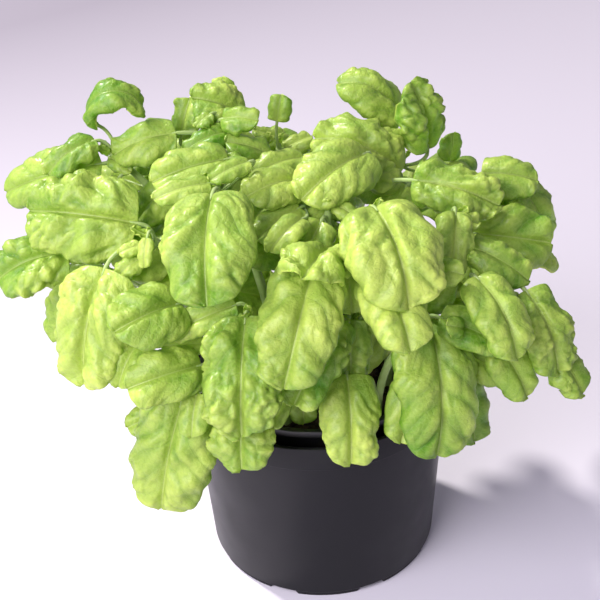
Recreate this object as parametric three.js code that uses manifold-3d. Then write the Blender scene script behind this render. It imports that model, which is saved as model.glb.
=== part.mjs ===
// Lettuce leaf basil growing in a nursery pot that stands in an anthracite outer pot.
// Millimetres, +Z up. The origin is the middle of the outer pot's foot, and -Y is the front.
import * as THREE from 'three';
import { mergeVertices } from 'three/addons/utils/BufferGeometryUtils.js';
import Module from 'manifold-3d';

const wasm = await Module();
wasm.setup();

// The outer pot: a nearly straight, injection-moulded plant pot with a proud rim band.
const pot = {
  rimRadius: 65,
  height: 99.5,
  bandHeight: 12.2,
  bandProud: 1.1,
  baseRadius: 58.4,
  cornerRadius: 3,
  lipWidth: 2.2,
  bandStep: 0.6,
  wall: 1.6,
  floor: 3.2,
  hubRadius: 24,
  grooveRadius: 50,
  grooveDepth: 1.5,
  footCount: 8,
  notchWidth: 15.6,
  notchDepth: 7,
  drainCount: 6,
  drainRadius: 3.4,
  drainRing: 37,
  sides: 36,
};

// The thin nursery pot that the plant was raised in. It stands on the outer pot's floor.
const nursery = {
  rimRadius: 59,
  rimLip: 1.6,
  lipHeight: 4,
  lipRound: 0.6,
  foot: 1.5,
  top: 105,
  baseRadius: 49,
  wall: 1.2,
  floor: 1.6,
  drainCount: 6,
  drainRadius: 4,
  drainRing: 30,
  sides: 32,
};

// Soil fills the nursery pot and is a little uneven on top.
const soil = { top: 98, uneven: 1.6, rings: [18, 38], sides: 18, holeRadius: 3.4, seed: 11 };

// Stems are four-sided, as in all of this plant's family, and taper to the shoot tip.
const stem = { footRadius: 2.4, tipRadius: 1.7, depthInSoil: 9, steps: 5 };
const gap = 0.3;

// Joined leaves and stems: corners nearer than reach become one.
const weld = { reach: 0.05, flattest: 0.002, nudge: 0.03, tries: 12, scrap: 5 };

// Leaf blades. Fold and droop are how far each half rises beside the midrib and then falls.
const blade = {
  thick: 0.9,
  fold: 30,
  droop: 78,
  sweep: 0.24,
  broadAt: 0.78,
  bluntness: 0.46,
  fullness: 1.07,
  ruffle: 1.5,
  waves: 5,
  rows: [0.06, 0.32, 0.64, 0.92],
  smallRows: [0.12, 0.5, 0.88],
  smallBelow: 27,
};

// Leaf stalks leave the stem a little below the blade they carry, and bend at a knee.
const stalk = {
  radius: 1.1,
  rootSize: 0.6,
  knee: 0.45,
  below: 6,
  lowest: 0.3,
  highest: 0.97,
  step: 0.02,
  spacing: 0.0017,
};

// Leafy stems: where each stands, where its shoot tip is, and the leaves seen from the front.
// A leaf is base x y z, tip x y z, width, bend, roll and pucker. Bend is the midrib's whole turn
// in degrees, roll turns the leaf about its own length, and pucker goes from 0, smooth, to 1.
const shoots = [
  { foot: [-36, 14], top: [-95, 28, 210], fill: [2, 3], leaves: [
    [-98, 33, 221, -78, 33, 226, 22, 245, 0, 0.7],
    [-101, 24, 222, -124, 14, 210, 22, 80, -10, 1.0],
    [-96, 24, 206, -146, 28, 191, 34, 50, -20, 0.2],
    [-90, 16, 208, -114, 2, 200, 20, 40, 0, 0.4],
    [-95, 26, 209, -84, 18, 205, 11, 50, 0, 0.6],
  ] },
  { foot: [-34, -14], top: [-74, -23, 192], fill: [3], leaves: [
    [-77, -16, 194, -129, -4, 197, 50, 60, -10, 0.5],
    [-92, -34, 184, -105, -58, 137, 47, 60, 0, 0.5],
    [-76, -30, 190, -86, -34, 188, 9, 40, 0, 0.3],
    [-72, -32, 196, -74, -38, 184, 9, 40, 0, 0.3],
    [-77, -33, 186, -89, -38, 178, 13, 60, 0, 1.0],
  ] },
  { foot: [-46, -2], top: [-108, -8, 172], fill: [1, 2], leaves: [
    [-112, -10, 178, -147, -14, 167, 36, 80, 0, 1.0],
    [-100, -2, 167, -125, -12, 130, 36, 60, 0, 0.5],
  ] },
  { foot: [-20, -6], top: [-43, -10, 208], fill: [2, 3], leaves: [
    [-43, -30, 215, -46, -74, 185, 50, 75, 0, 0.35],
    [-36, 6, 214, -72, -3, 208, 30, 50, -10, 0.2],
    [-38, 8, 216, -32, 0, 203, 16, 40, 0, 0.2],
    [-44, -14, 212, -70, -20, 208, 16, 50, 0, 0.5],
    [-27, -4, 214, -45, -14, 210, 13, 40, 0, 0.5],
    [-30, 0, 205, -40, -14, 197, 16, 30, 0, 0.1],
    [-59, 12, 202, -82, 4, 184, 28, 66, 0, 0.6],
  ] },
  { foot: [-20, 22], top: [-42, 46, 214], fill: [2, 3], leaves: [
    [-62, 44, 207, -56, 50, 226, 20, 40, 20, 1.0],
    [-31, 50, 214, -55, 46, 228, 33, 80, -20, 0.8],
    [-42, 58, 216, -41, 62, 231, 16, 30, 0, 0.4],
    [-45, 36, 222, -52, 32, 217, 11, 50, 0, 0.6],
    [-40, 34, 220, -23, 26, 219, 19, 60, 10, 0.6],
    [-35, 30, 218, -58, 20, 214, 18, 60, 0, 0.8],
    [-61, 28, 218, -92, 26, 209, 29, 60, -10, 0.3],
    [-66, 36, 204, -88, 36, 197, 18, 30, 0, 0.1],
  ] },
  { foot: [-4, -3], top: [-5, -3, 200], fill: [2, 3], leaves: [
    [-4, 2, 203, -30, -14, 204, 28, 70, 0, 0.6],
    [-5, -12, 198, -26, -26, 190, 20, 60, 0, 1.0],
    [-5, -26, 196, -20, -40, 188, 17, 100, 0, 0.6],
    [-12, -20, 178, -32, -30, 184, 20, 40, 0, 0.2],
    [-2, 20, 206, -26, 8, 204, 20, 60, 0, 0.5],
    [-8, 30, 203, -26, 20, 207, 16, 30, 10, 0.4],
    [-18, 24, 206, -39, 22, 215, 20, 50, 0, 0.6],
    [-10, 7, 197, -29, -3, 185, 24, 50, 0, 0.8],
  ] },
  { foot: [-9, 34], top: [-15, 66, 194], fill: [1, 2, 3], leaves: [
    [-15, 62, 206, -12, 66, 219, 16, 20, 0, 0.2],
    [-16, 70, 194, -27, 72, 198, 13, 30, 0, 0.3],
    [-12, 65, 190, 2, 70, 194, 17, 30, 0, 0.3],
  ] },
  { foot: [10, 6], top: [22, 10, 202], fill: [1, 2, 3], leaves: [
    [27, 12, 211, -5, -15, 202, 38, 70, 0, 0.3],
  ] },
  { foot: [5, -16], top: [7, -16, 199], fill: [2, 3], leaves: [
    [6, -14, 200, -8, -18, 199, 11, 60, 0, 0.6],
    [9, -14, 200, 20, -22, 196, 11, 60, 0, 0.6],
    [4, -26, 199, -4, -46, 180, 25, 60, 0, 0.7],
  ] },
  { foot: [22, 24], top: [46, 48, 190], fill: [2, 3], leaves: [
    [44, 60, 203, 16, 60, 226, 35, 130, -10, 0.4],
    [44, 30, 190, 3, 30, 211, 42, 110, -15, 0.7],
    [58, 40, 197, 50, 46, 231, 34, 50, 0, 1.0],
    [71, 56, 183, 73, 60, 197, 17, 30, 0, 0.3],
    [46, 6, 199, 86, -6, 190, 32, 60, 12, 1.0],
    [48, 24, 191, 25, 8, 186, 27, 60, 0, 0.5],
  ] },
  { foot: [16, -29], top: [27, -32, 204], fill: [2, 3], leaves: [
    [26, -36, 208, 38, -74, 180, 52, 95, 0, 0.35],
    [14, -38, 184, 15, -50, 163, 24, 30, 0, 0.0],
  ] },
  { foot: [38, 6], top: [76, 8, 184], fill: [2, 3], leaves: [
    [80, 20, 192, 106, 14, 186, 30, 50, 10, 0.0],
    [95, 16, 188, 109, 6, 157, 30, 70, 0, 0.2],
    [74, 0, 173, 111, -6, 169, 40, 50, 25, 0.2],
    [98, 26, 187, 114, 18, 156, 34, 60, 10, 0.2],
  ] },
  { foot: [34, -13], top: [64, -18, 192], fill: [3], leaves: [
    [63, -24, 198, 58, -44, 176, 23, 60, 0, 1.0],
    [62, -18, 190, 74, -22, 190, 15, 60, 0, 1.0],
    [68, -27, 182, 94, -36, 166, 24, 50, 0, 0.4],
    [53, -44, 174, 67, -54, 178, 17, 80, 0, 0.3],
  ] },
  { foot: [41, -26], top: [84, -42, 164], fill: [], leaves: [
    [69, -46, 177, 84, -76, 153, 30, 80, 0, 0.4],
    [92, -42, 167, 106, -60, 134, 32, 80, 10, 0.8],
    [104, -50, 140, 118, -60, 121, 24, 50, 0, 0.8],
    [79, -56, 148, 92, -64, 124, 27, 40, 0, 0.4],
    [62, -54, 144, 83, -60, 134, 24, 30, 0, 0.1],
  ] },
  { foot: [27, -38], top: [48, -50, 158], fill: [], leaves: [
    [48, -52, 162, 50, -82, 107, 47, 80, 0, 0.1],
    [64, -49, 128, 71, -56, 93, 28, 30, 0, 0.3],
    [42, -60, 134, 34, -72, 108, 26, 20, 0, 0.1],
    [52, -57, 164, 80, -64, 152, 22, 50, 0, 0.4],
    [60, -62, 160, 52, -70, 168, 12, 90, 0, 0.3],
    [46, -48, 162, 58, -46, 178, 22, 60, 0, 0.3],
  ] },
  { foot: [6, -43], top: [14, -46, 156], fill: [], leaves: [
    [12, -56, 136, 12, -80, 103, 35, 70, 0, 0.5],
    [14, -48, 160, 14, -58, 131, 24, 40, 0, 0.8],
    [34, -40, 162, 16, -43, 150, 22, 30, 0, 0.1],
    [33, -42, 150, 26, -51, 118, 24, 30, 0, 0.1],
  ] },
  { foot: [-3, -30], top: [3, -40, 184], fill: [], leaves: [
    [0, -44, 188, -16, -84, 147, 43, 80, 0, 0.25],
    [-9, -42, 124, -8, -48, 103, 18, 20, 0, 0.1],
    [-16, -56, 128, -24, -67, 115, 16, 30, 0, 0.2],
  ] },
  { foot: [-16, -40], top: [-30, -56, 168], fill: [], leaves: [
    [-31, -57, 170, -35, -89, 128, 44, 70, 0, 0.9],
    [-26, -61, 165, -18, -69, 156, 13, 80, 0, 0.4],
    [-34, -52, 172, -65, -57, 162, 19, 50, 0, 0.8],
    [-35, -68, 128, -36, -84, 106, 35, 60, 0, 0.7],
  ] },
  { foot: [-40, -24], top: [-62, -46, 174], fill: [], leaves: [
    [-60, -48, 170, -90, -64, 169, 37, 70, 0, 0.4],
    [-78, -53, 160, -94, -68, 149, 23, 70, 0, 0.4],
    [-49, -44, 176, -62, -44, 191, 17, 30, 0, 0.2],
    [-66, -18, 174, -83, -22, 167, 23, 60, 0, 0.6],
  ] },
  { foot: [-29, -38], top: [-56, -60, 134], fill: [], leaves: [
    [-61, -61, 131, -76, -70, 73, 50, 40, 0, 0.1],
    [-55, -67, 137, -58, -80, 122, 18, 40, 0, 0.1],
    [-52, -57, 144, -84, -71, 143, 31, 80, 0, 0.3],
    [-50, -50, 151, -70, -52, 152, 13, 40, 0, 0.2],
    [-74, -50, 114, -90, -53, 108, 18, 40, 0, 0.3],
  ] },
  { foot: [3, 45], top: [12, 82, 168], fill: [0, 1, 2, 3], leaves: [] },
  { foot: [32, 36], top: [60, 68, 160], fill: [0, 1, 2, 3], leaves: [] },
  { foot: [-32, 34], top: [-64, 68, 168], fill: [0, 1, 2, 3], leaves: [] },
  { foot: [44, 22], top: [88, 44, 156], fill: [0, 1, 2, 3], leaves: [] },
];

// Pairs of leaves that fill each stem below and behind those that are listed.
const pairs = {
  places: [0.99, 0.86, 0.7, 0.5],
  long: [36, 46, 50, 42],
  wideShare: 0.74,
  stalk: [9, 15, 18, 16],
  rise: [48, 30, 14, 0],
  bend: 62,
  bendVary: 20,
  rollVary: 14,
  longVary: 0.15,
  spread: 12,
  lift: 3,
  reach: 0.85,
  drop: 0.45,
  seed: 5,
  firstOrder: 9,
};

// A leaf that would cross another is bent clear by the first of these steps that clears it:
// lifted or dropped at its base, swung aside, or moved out along its own face.
const bendStep = { degrees: 6, out: 2.2, sizes: [1, 2, 3, 4] };
const bendWays = [[1, 0, 0], [-1, 0, 0], [0, 1, 0], [0, -1, 0], [0, 0, 1], [0, 0, -1],
  [1, 1, 1], [-1, -1, -1], [1, -1, 1], [-1, 1, -1]];
const bends = [[0, 0, 0], ...bendStep.sizes.flatMap((size) => bendWays.map(([lift, swing, out]) =>
  [bendStep.degrees * size * lift, bendStep.degrees * size * swing, bendStep.out * size * out]))];
const clearance = 0.55;
const touch = 0.001;

// Blades face away from these points: from the first one in the pairs, from the second one in
// the leaves seen from the front, which turn towards the light.
const heart = new THREE.Vector3(-8, 20, 80);
const frontHeart = new THREE.Vector3(-8, 110, 20);

const radians = THREE.MathUtils.degToRad;
const vec = (x, y, z) => new THREE.Vector3(x, y, z);

// A small repeatable random source, from 0 to 1.
function randomFrom(seed) {
  let state = seed;
  return () => {
    state = (state * 16807) % 2147483647;
    return state / 2147483647;
  };
}

function toSolid(positions, triangles) {
  return new wasm.Manifold(new wasm.Mesh({
    numProp: 3,
    vertProperties: new Float32Array(positions),
    triVerts: new Uint32Array(triangles),
  }));
}

function geometryToSolid(geometry) {
  geometry.deleteAttribute('normal');
  geometry.deleteAttribute('uv');
  const merged = mergeVertices(geometry, 1e-4);
  return toSolid(merged.attributes.position.array, merged.index.array);
}

function solidToMesh(solid, name, material) {
  const mesh = solid.getMesh();
  const geometry = new THREE.BufferGeometry();
  geometry.setAttribute('position', new THREE.BufferAttribute(new Float32Array(mesh.vertProperties), 3));
  geometry.setIndex(new THREE.BufferAttribute(new Uint32Array(mesh.triVerts), 1));
  geometry.computeVertexNormals();
  const result = new THREE.Mesh(geometry, material);
  result.name = name;
  return result;
}

// Moves corners that almost touch onto one another and drops what this flattens.
function welded(solid) {
  const mesh = solid.getMesh();
  const points = [];
  const cells = new Map();
  const moved = [];
  for (let k = 0; k < mesh.vertProperties.length; k += 3) {
    const point = vec(...mesh.vertProperties.slice(k, k + 3));
    const [x, y, z] = point.toArray().map((value) => Math.floor(value / weld.reach));
    let match = -1;
    for (let n = 0; n < 27; n += 1) {
      const near = [x + n % 3 - 1, y + Math.floor(n / 3) % 3 - 1, z + Math.floor(n / 9) - 1];
      const other = cells.get(near.join());
      if (other !== undefined && points[other].distanceTo(point) < weld.reach) match = other;
    }
    if (match < 0) {
      match = points.length;
      points.push(point);
      cells.set([x, y, z].join(), match);
    }
    moved.push(match);
  }
  const kept = new Map();
  for (let k = 0; k < mesh.triVerts.length; k += 3) {
    const face = Array.from(mesh.triVerts.slice(k, k + 3), (index) => moved[index]);
    if (new Set(face).size < 3) continue;
    const key = [...face].sort((p, q) => p - q).join();
    if (kept.has(key)) kept.delete(key);
    else kept.set(key, face);
  }
  const faces = [...kept.values()];
  while (flipOneFlat(points, faces));
  return { points, faces };
}

const sidesOf = ([a, b, c]) => [[a, b, c], [b, c, a], [c, a, b]];

// Where a triangle is nearly a line, its longest side is flipped with its neighbour's.
function flipOneFlat(points, faces) {
  const owner = new Map();
  faces.forEach((face, k) => sidesOf(face).forEach(([a, b]) => owner.set(`${a},${b}`, k)));
  const size = ([a, b]) => points[a].distanceTo(points[b]);
  for (const [k, face] of faces.entries()) {
    const [p, q, r] = sidesOf(face).reduce((best, turn) => (size(turn) > size(best) ? turn : best));
    const area = new THREE.Triangle(points[p], points[q], points[r]).getArea();
    if (2 * area > weld.flattest * size([p, q])) continue;
    const other = owner.get(`${q},${p}`);
    const s = faces[other].find((corner) => corner !== p && corner !== q);
    if (owner.has(`${r},${s}`) || owner.has(`${s},${r}`)) continue;
    faces[k] = [p, s, r];
    faces[other] = [s, q, r];
    return true;
  }
  return false;
}

// Joins solids into one body. A hollow that this seals is filled, and the solids are nudged by
// hundredths of a millimetre until no loose piece and no side shared twice is left.
function joined(solids) {
  for (let step = 0; step < weld.tries; step += 1) {
    const nudge = weld.nudge * step;
    const nudged = solids.map((solid, k) => solid.translate([nudge * Math.sin(k), nudge * Math.cos(k), 0]));
    const pieces = wasm.Manifold.union(nudged).decompose();
    const largest = pieces.reduce((best, piece) => (piece.volume() > best.volume() ? piece : best));
    const loose = pieces.filter((piece) => piece !== largest && piece.volume() > weld.scrap);
    const { points, faces } = welded(largest);
    const sides = new Set(faces.flatMap((face) => sidesOf(face).map(([a, b]) => `${a},${b}`)));
    if (loose.length === 0 && sides.size === 3 * faces.length) {
      return toSolid(points.flatMap((point) => point.toArray()), faces.flat());
    }
  }
  throw new Error('the solids do not join cleanly');
}

function turned(points, sides) {
  const geometry = new THREE.LatheGeometry(points.map(([r, z]) => new THREE.Vector2(r, z)), sides);
  geometry.rotateX(Math.PI / 2);
  return geometryToSolid(geometry);
}

function upright(radius, bottom, top, sides, x, y) {
  const geometry = new THREE.CylinderGeometry(radius, radius, top - bottom, sides);
  geometry.rotateX(Math.PI / 2);
  geometry.translate(x, y, (top + bottom) / 2);
  return geometryToSolid(geometry);
}

function outerPot() {
  const bodyTop = pot.rimRadius - pot.bandProud;
  const bandBottom = pot.height - pot.bandHeight;
  const corner = pot.cornerRadius;
  const profile = [
    [0, 0],
    [pot.hubRadius, 0],
    [pot.hubRadius + 1, pot.grooveDepth],
    [pot.grooveRadius, pot.grooveDepth],
    [pot.grooveRadius + 1, 0],
    [pot.baseRadius - corner, 0],
    [pot.baseRadius - 0.3 * corner, 0.3 * corner],
    [pot.baseRadius, corner],
    [bodyTop, bandBottom - pot.bandStep],
    [pot.rimRadius, bandBottom],
    [pot.rimRadius, pot.height],
    [pot.rimRadius - pot.lipWidth, pot.height],
    [bodyTop - pot.wall, bandBottom - 1.5],
    [pot.baseRadius - pot.wall - 0.5, pot.floor],
    [0, pot.floor],
  ];
  let solid = turned(profile, pot.sides);
  for (let i = 0; i < pot.footCount; i += 1) {
    const notch = new THREE.BoxGeometry(2 * pot.notchDepth, pot.notchWidth, 2 * pot.grooveDepth);
    notch.translate(pot.baseRadius, 0, 0);
    notch.rotateZ(2 * Math.PI * (i + 0.5) / pot.footCount);
    solid = solid.subtract(geometryToSolid(notch));
  }
  for (let i = 0; i < pot.drainCount; i += 1) {
    const around = 2 * Math.PI * i / pot.drainCount;
    const x = pot.drainRing * Math.cos(around);
    const y = pot.drainRing * Math.sin(around);
    solid = solid.subtract(upright(pot.drainRadius, -1, pot.floor + 1, 6, x, y));
  }
  return solid;
}

function nurseryInside(z) {
  const base = pot.floor + gap;
  const share = (z - base) / (nursery.top - base);
  const outside = nursery.baseRadius + (nursery.rimRadius - nursery.rimLip - nursery.baseRadius) * share;
  return outside - nursery.wall;
}

function nurseryPot() {
  const base = pot.floor + gap;
  const inner = nursery.rimRadius - nursery.rimLip;
  const lipBottom = nursery.top - nursery.lipHeight;
  const profile = [
    [0, base],
    [nursery.baseRadius - nursery.foot, base],
    [nursery.baseRadius, base + nursery.foot],
    [nurseryInside(lipBottom) + nursery.wall, lipBottom],
    [nursery.rimRadius, lipBottom + nursery.lipRound],
    [nursery.rimRadius, nursery.top - nursery.lipRound],
    [nursery.rimRadius - nursery.lipRound, nursery.top],
    [inner - nursery.wall, nursery.top],
    [nurseryInside(base + nursery.floor), base + nursery.floor],
    [0, base + nursery.floor],
  ];
  let solid = turned(profile, nursery.sides);
  for (let i = 0; i < nursery.drainCount; i += 1) {
    const around = 2 * Math.PI * (i + 0.5) / nursery.drainCount;
    const x = nursery.drainRing * Math.cos(around);
    const y = nursery.drainRing * Math.sin(around);
    solid = solid.subtract(upright(nursery.drainRadius, base - 1, base + nursery.floor + 1, 6, x, y));
  }
  return solid;
}

// Soil: rings of points whose height wanders a little, closed by a plain side and underside.
function soilBody() {
  const random = randomFrom(soil.seed);
  const bottom = pot.floor + gap + nursery.floor + gap;
  const topRadius = nurseryInside(soil.top) - gap - 0.3;
  const bottomRadius = nurseryInside(bottom) - gap - 0.3;
  const positions = [0, 0, soil.top];
  const radii = [...soil.rings, topRadius];
  for (const radius of radii) {
    for (let i = 0; i < soil.sides; i += 1) {
      const around = 2 * Math.PI * i / soil.sides;
      const height = soil.top - soil.uneven * random();
      positions.push(radius * Math.cos(around), radius * Math.sin(around), height);
    }
  }
  for (let i = 0; i < soil.sides; i += 1) {
    const around = 2 * Math.PI * i / soil.sides;
    positions.push(bottomRadius * Math.cos(around), bottomRadius * Math.sin(around), bottom);
  }
  const last = radii.length;
  const centreBelow = positions.length / 3;
  positions.push(0, 0, bottom);
  const at = (ring, i) => 1 + ring * soil.sides + i % soil.sides;
  const triangles = [];
  for (let i = 0; i < soil.sides; i += 1) {
    triangles.push(0, at(0, i), at(0, i + 1));
    for (let ring = 0; ring < last; ring += 1) {
      triangles.push(at(ring, i), at(ring + 1, i), at(ring + 1, i + 1));
      triangles.push(at(ring, i), at(ring + 1, i + 1), at(ring, i + 1));
    }
    triangles.push(centreBelow, at(last, i + 1), at(last, i));
  }
  let solid = toSolid(positions, triangles);
  for (const { foot: [x, y] } of shoots) {
    const floor = soil.top - stem.depthInSoil - gap;
    solid = solid.subtract(upright(soil.holeRadius, floor, soil.top + 2, 6, x, y));
  }
  return solid;
}

// Joins two rows of points by triangles, walking both at the same pace.
function strip(triangles, from, to, flip) {
  let i = 0;
  let j = 0;
  while (i < from.length - 1 || j < to.length - 1) {
    const stepFrom = (i + 1) * (to.length - 1) <= (j + 1) * (from.length - 1) && i < from.length - 1;
    const next = stepFrom || j >= to.length - 1 ? from[i + 1] : to[j + 1];
    if (flip) triangles.push(from[i], next, to[j]);
    else triangles.push(from[i], to[j], next);
    if (next === from[i + 1]) i += 1;
    else j += 1;
  }
}

// A closed body through a list of rings. Each ring has an upper and a lower row of points.
function ringsToSolid(rings) {
  const positions = [];
  const indexed = rings.map(({ upper, lower }) => [upper, lower].map((row) => row.map((p) => {
    positions.push(p.x, p.y, p.z);
    return positions.length / 3 - 1;
  })));
  const triangles = [];
  strip(triangles, indexed[0][0], indexed[0][1], true);
  for (let k = 0; k + 1 < indexed.length; k += 1) {
    const [upperA, lowerA] = indexed[k];
    const [upperB, lowerB] = indexed[k + 1];
    strip(triangles, upperA, upperB, false);
    strip(triangles, lowerA, lowerB, true);
    strip(triangles, [upperA[0], lowerA[0]], [upperB[0], lowerB[0]], true);
    strip(triangles, [upperA.at(-1), lowerA.at(-1)], [upperB.at(-1), lowerB.at(-1)], false);
  }
  const [upperEnd, lowerEnd] = indexed.at(-1);
  strip(triangles, upperEnd, lowerEnd, false);
  const solid = toSolid(positions, triangles);
  if (solid.volume() >= 0) return solid;
  for (let k = 0; k < triangles.length; k += 3) {
    [triangles[k + 1], triangles[k + 2]] = [triangles[k + 2], triangles[k + 1]];
  }
  return toSolid(positions, triangles);
}

// A stem's middle line: straight up out of the soil, then curving out to the shoot tip.
function stemPoint(shoot, share) {
  const [x, y] = shoot.foot;
  const [topX, topY, topZ] = shoot.top;
  const waist = soil.top + 0.55 * (topZ - soil.top);
  const a = (1 - share) ** 2;
  const b = 2 * share * (1 - share);
  const c = share ** 2;
  return vec(
    (a + b) * x + c * topX,
    (a + b) * y + c * topY,
    a * soil.top + b * waist + c * topZ,
  );
}

function squareRing(centre, along, radius, turn) {
  const side = vec(Math.cos(turn), Math.sin(turn), 0);
  side.addScaledVector(along, -side.dot(along)).normalize();
  const front = vec(0, 0, 0).crossVectors(along, side);
  const corner = (a, b) => centre.clone()
    .addScaledVector(side, a * radius)
    .addScaledVector(front, b * radius);
  return { upper: [corner(-1, 0), corner(0, 1)], lower: [corner(0, -1), corner(1, 0)] };
}

function stemSolid(shoot, grow) {
  const [x, y] = shoot.foot;
  const up = vec(0, 0, 1);
  const turn = Math.atan2(y, x);
  const foot = vec(x, y, soil.top - stem.depthInSoil);
  const rings = [squareRing(foot, up, stem.footRadius + grow, turn)];
  for (let i = 0; i <= stem.steps; i += 1) {
    const share = i / stem.steps;
    const here = stemPoint(shoot, share);
    const ahead = stemPoint(shoot, share + 0.01).sub(here).normalize();
    const radius = stem.footRadius + (stem.tipRadius - stem.footRadius) * share;
    rings.push(squareRing(here, ahead, radius + grow, turn));
  }
  return ringsToSolid(rings);
}

// A leaf's midrib is an even arc from base to tip. Along is its chord and face is its upper side.
function leafFrame(leaf, from) {
  const [bx, by, bz, tx, ty, tz, across, bend, roll, pucker] = leaf;
  const wide = blade.fullness * across;
  const base = vec(bx, by, bz);
  const tip = vec(tx, ty, tz);
  const along = tip.clone().sub(base);
  const chord = along.length();
  along.normalize();
  const middle = base.clone().add(tip).multiplyScalar(0.5);
  const face = middle.sub(from);
  face.addScaledVector(along, -face.dot(along)).normalize();
  face.applyAxisAngle(along, radians(roll));
  const turn = radians(Math.max(bend, 2));
  const radius = chord / (2 * Math.sin(turn / 2));
  return { base, along, face, turn, radius, long: radius * turn, wide, pucker };
}

// Turns a leaf's frame about its base: lift raises the tip, swing moves it sideways.
function bendLeaf(frame, [lift, swing, out]) {
  const along = frame.along.clone();
  const face = frame.face.clone();
  const side = vec(0, 0, 0).crossVectors(face, along);
  along.applyAxisAngle(side, radians(-lift));
  face.applyAxisAngle(side, radians(-lift));
  along.applyAxisAngle(face, radians(swing));
  const base = frame.base.clone().addScaledVector(frame.face, out);
  return { ...frame, base, along, face };
}

// Half the blade's flat width at a share of its length: broad below the middle, with a blunt tip.
function halfWidth(frame, share) {
  const arch = Math.sin(Math.PI * Math.min(Math.max(share, 0), 1) ** blade.broadAt);
  return 0.5 * frame.wide * arch ** blade.bluntness;
}

// A point of the blade's middle surface. Share runs from base to tip and across from -1 to 1.
function bladePoint(frame, share, across) {
  const forward = share + blade.sweep * Math.abs(across) * Math.sqrt(share) * (1 - share);
  const flat = across * halfWidth(frame, forward);
  const angle = frame.turn * (forward - 0.5);
  const half = frame.turn / 2;
  const x = frame.radius * (Math.sin(angle) + Math.sin(half));
  const rise = frame.radius * (Math.cos(angle) - Math.cos(half));
  const fold = radians(blade.fold);
  const turn = radians(blade.fold + blade.droop);
  const reach = frame.wide / 2;
  const q = Math.abs(flat) / reach;
  const side = Math.sign(across) * reach * (Math.sin(fold) - Math.sin(fold - turn * q)) / turn;
  const lift = reach * (Math.cos(fold - turn * q) - Math.cos(fold)) / turn;
  const wave = Math.sin(blade.waves * Math.PI * share + 2 * across) * across ** 2;
  const ripple = blade.ruffle * (0.35 + frame.pucker) * wave;
  const sideways = vec(0, 0, 0).crossVectors(frame.face, frame.along);
  const outX = Math.sin(angle);
  const outUp = Math.cos(angle);
  return frame.base.clone()
    .addScaledVector(frame.along, x + outX * (lift + ripple))
    .addScaledVector(frame.face, rise + outUp * (lift + ripple))
    .addScaledVector(sideways, side);
}

function bladeRing(frame, share, columns, thick, spread) {
  const upper = [];
  const lower = [];
  for (let i = 0; i < columns; i += 1) {
    const across = -1 + 2 * i / (columns - 1);
    const here = bladePoint(frame, share, across);
    const step = 0.02;
    const lengthwise = bladePoint(frame, Math.min(share + step, 1), across)
      .sub(bladePoint(frame, Math.max(share - step, 0), across));
    const crosswise = bladePoint(frame, share, Math.min(across + step, 1))
      .sub(bladePoint(frame, share, Math.max(across - step, -1)));
    const out = lengthwise.cross(crosswise).normalize();
    const atRim = i === 0 || i === columns - 1;
    if (atRim) here.addScaledVector(crosswise.normalize(), Math.sign(across) * spread);
    upper.push(here.clone().addScaledVector(out, thick / 2));
    lower.push(here.clone().addScaledVector(out, -thick / 2));
  }
  return { upper, lower };
}

// A leaf with its stalk. Grow makes it fatter and wider, to test that it is clear of others.
function leafSolid(frame, root, grow) {
  const small = frame.wide < blade.smallBelow;
  const rows = small ? blade.smallRows : blade.rows;
  const columns = small ? 3 : 5;
  const thick = blade.thick + 2 * grow;
  const half = frame.turn / 2;
  const side = vec(0, 0, 0).crossVectors(frame.face, frame.along);
  const start = frame.along.clone().applyAxisAngle(side, -half);
  const out = frame.face.clone().applyAxisAngle(side, -half);
  const rings = [];
  const radius = stalk.radius + grow;
  if (root) {
    const knee = frame.base.clone().addScaledVector(start, -stalk.knee * frame.base.distanceTo(root));
    const curve = new THREE.QuadraticBezierCurve3(root, knee, frame.base);
    const across = side.clone();
    const up = out.clone();
    let last = start;
    for (const [share, size] of [[1, 1], [0.5, 1], [0, stalk.rootSize]]) {
      const here = curve.getPoint(share);
      const along = curve.getTangent(share);
      const turn = new THREE.Quaternion().setFromUnitVectors(last, along);
      across.applyQuaternion(turn);
      up.applyQuaternion(turn);
      last = along;
      const corner = (a, b) => here.clone()
        .addScaledVector(across, a * size * radius)
        .addScaledVector(up, b * size * radius);
      rings.unshift({ upper: [corner(-0.9, 0.5), corner(0.9, 0.5)], lower: [corner(0, -1)] });
    }
  } else {
    const corner = (a, b) => frame.base.clone().addScaledVector(side, a).addScaledVector(out, b);
    rings.push({ upper: [corner(-1, thick / 2), corner(1, thick / 2)], lower: [corner(0, -thick / 2)] });
  }
  for (const share of rows) rings.push(bladeRing(frame, share, columns, thick, grow));
  const end = bladeRing(frame, 1, 3, thick, 0);
  rings.push({ upper: [end.upper[1]], lower: [end.lower[1]] });
  return ringsToSolid(rings);
}

// The stem's point nearest to just under the leaf's base, where the leaf stalk comes out. Each
// leaf has its own set of points, so that no two stalks start at the same one.
function stalkRoot(shoot, frame, order) {
  const aim = frame.base.clone().add(vec(0, 0, -stalk.below));
  const lowest = stalk.lowest + stalk.spacing * order;
  let best = stemPoint(shoot, lowest);
  for (let share = lowest; share < stalk.highest; share += stalk.step) {
    const point = stemPoint(shoot, share);
    if (point.distanceTo(aim) < best.distanceTo(aim)) best = point;
  }
  return best;
}

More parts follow.
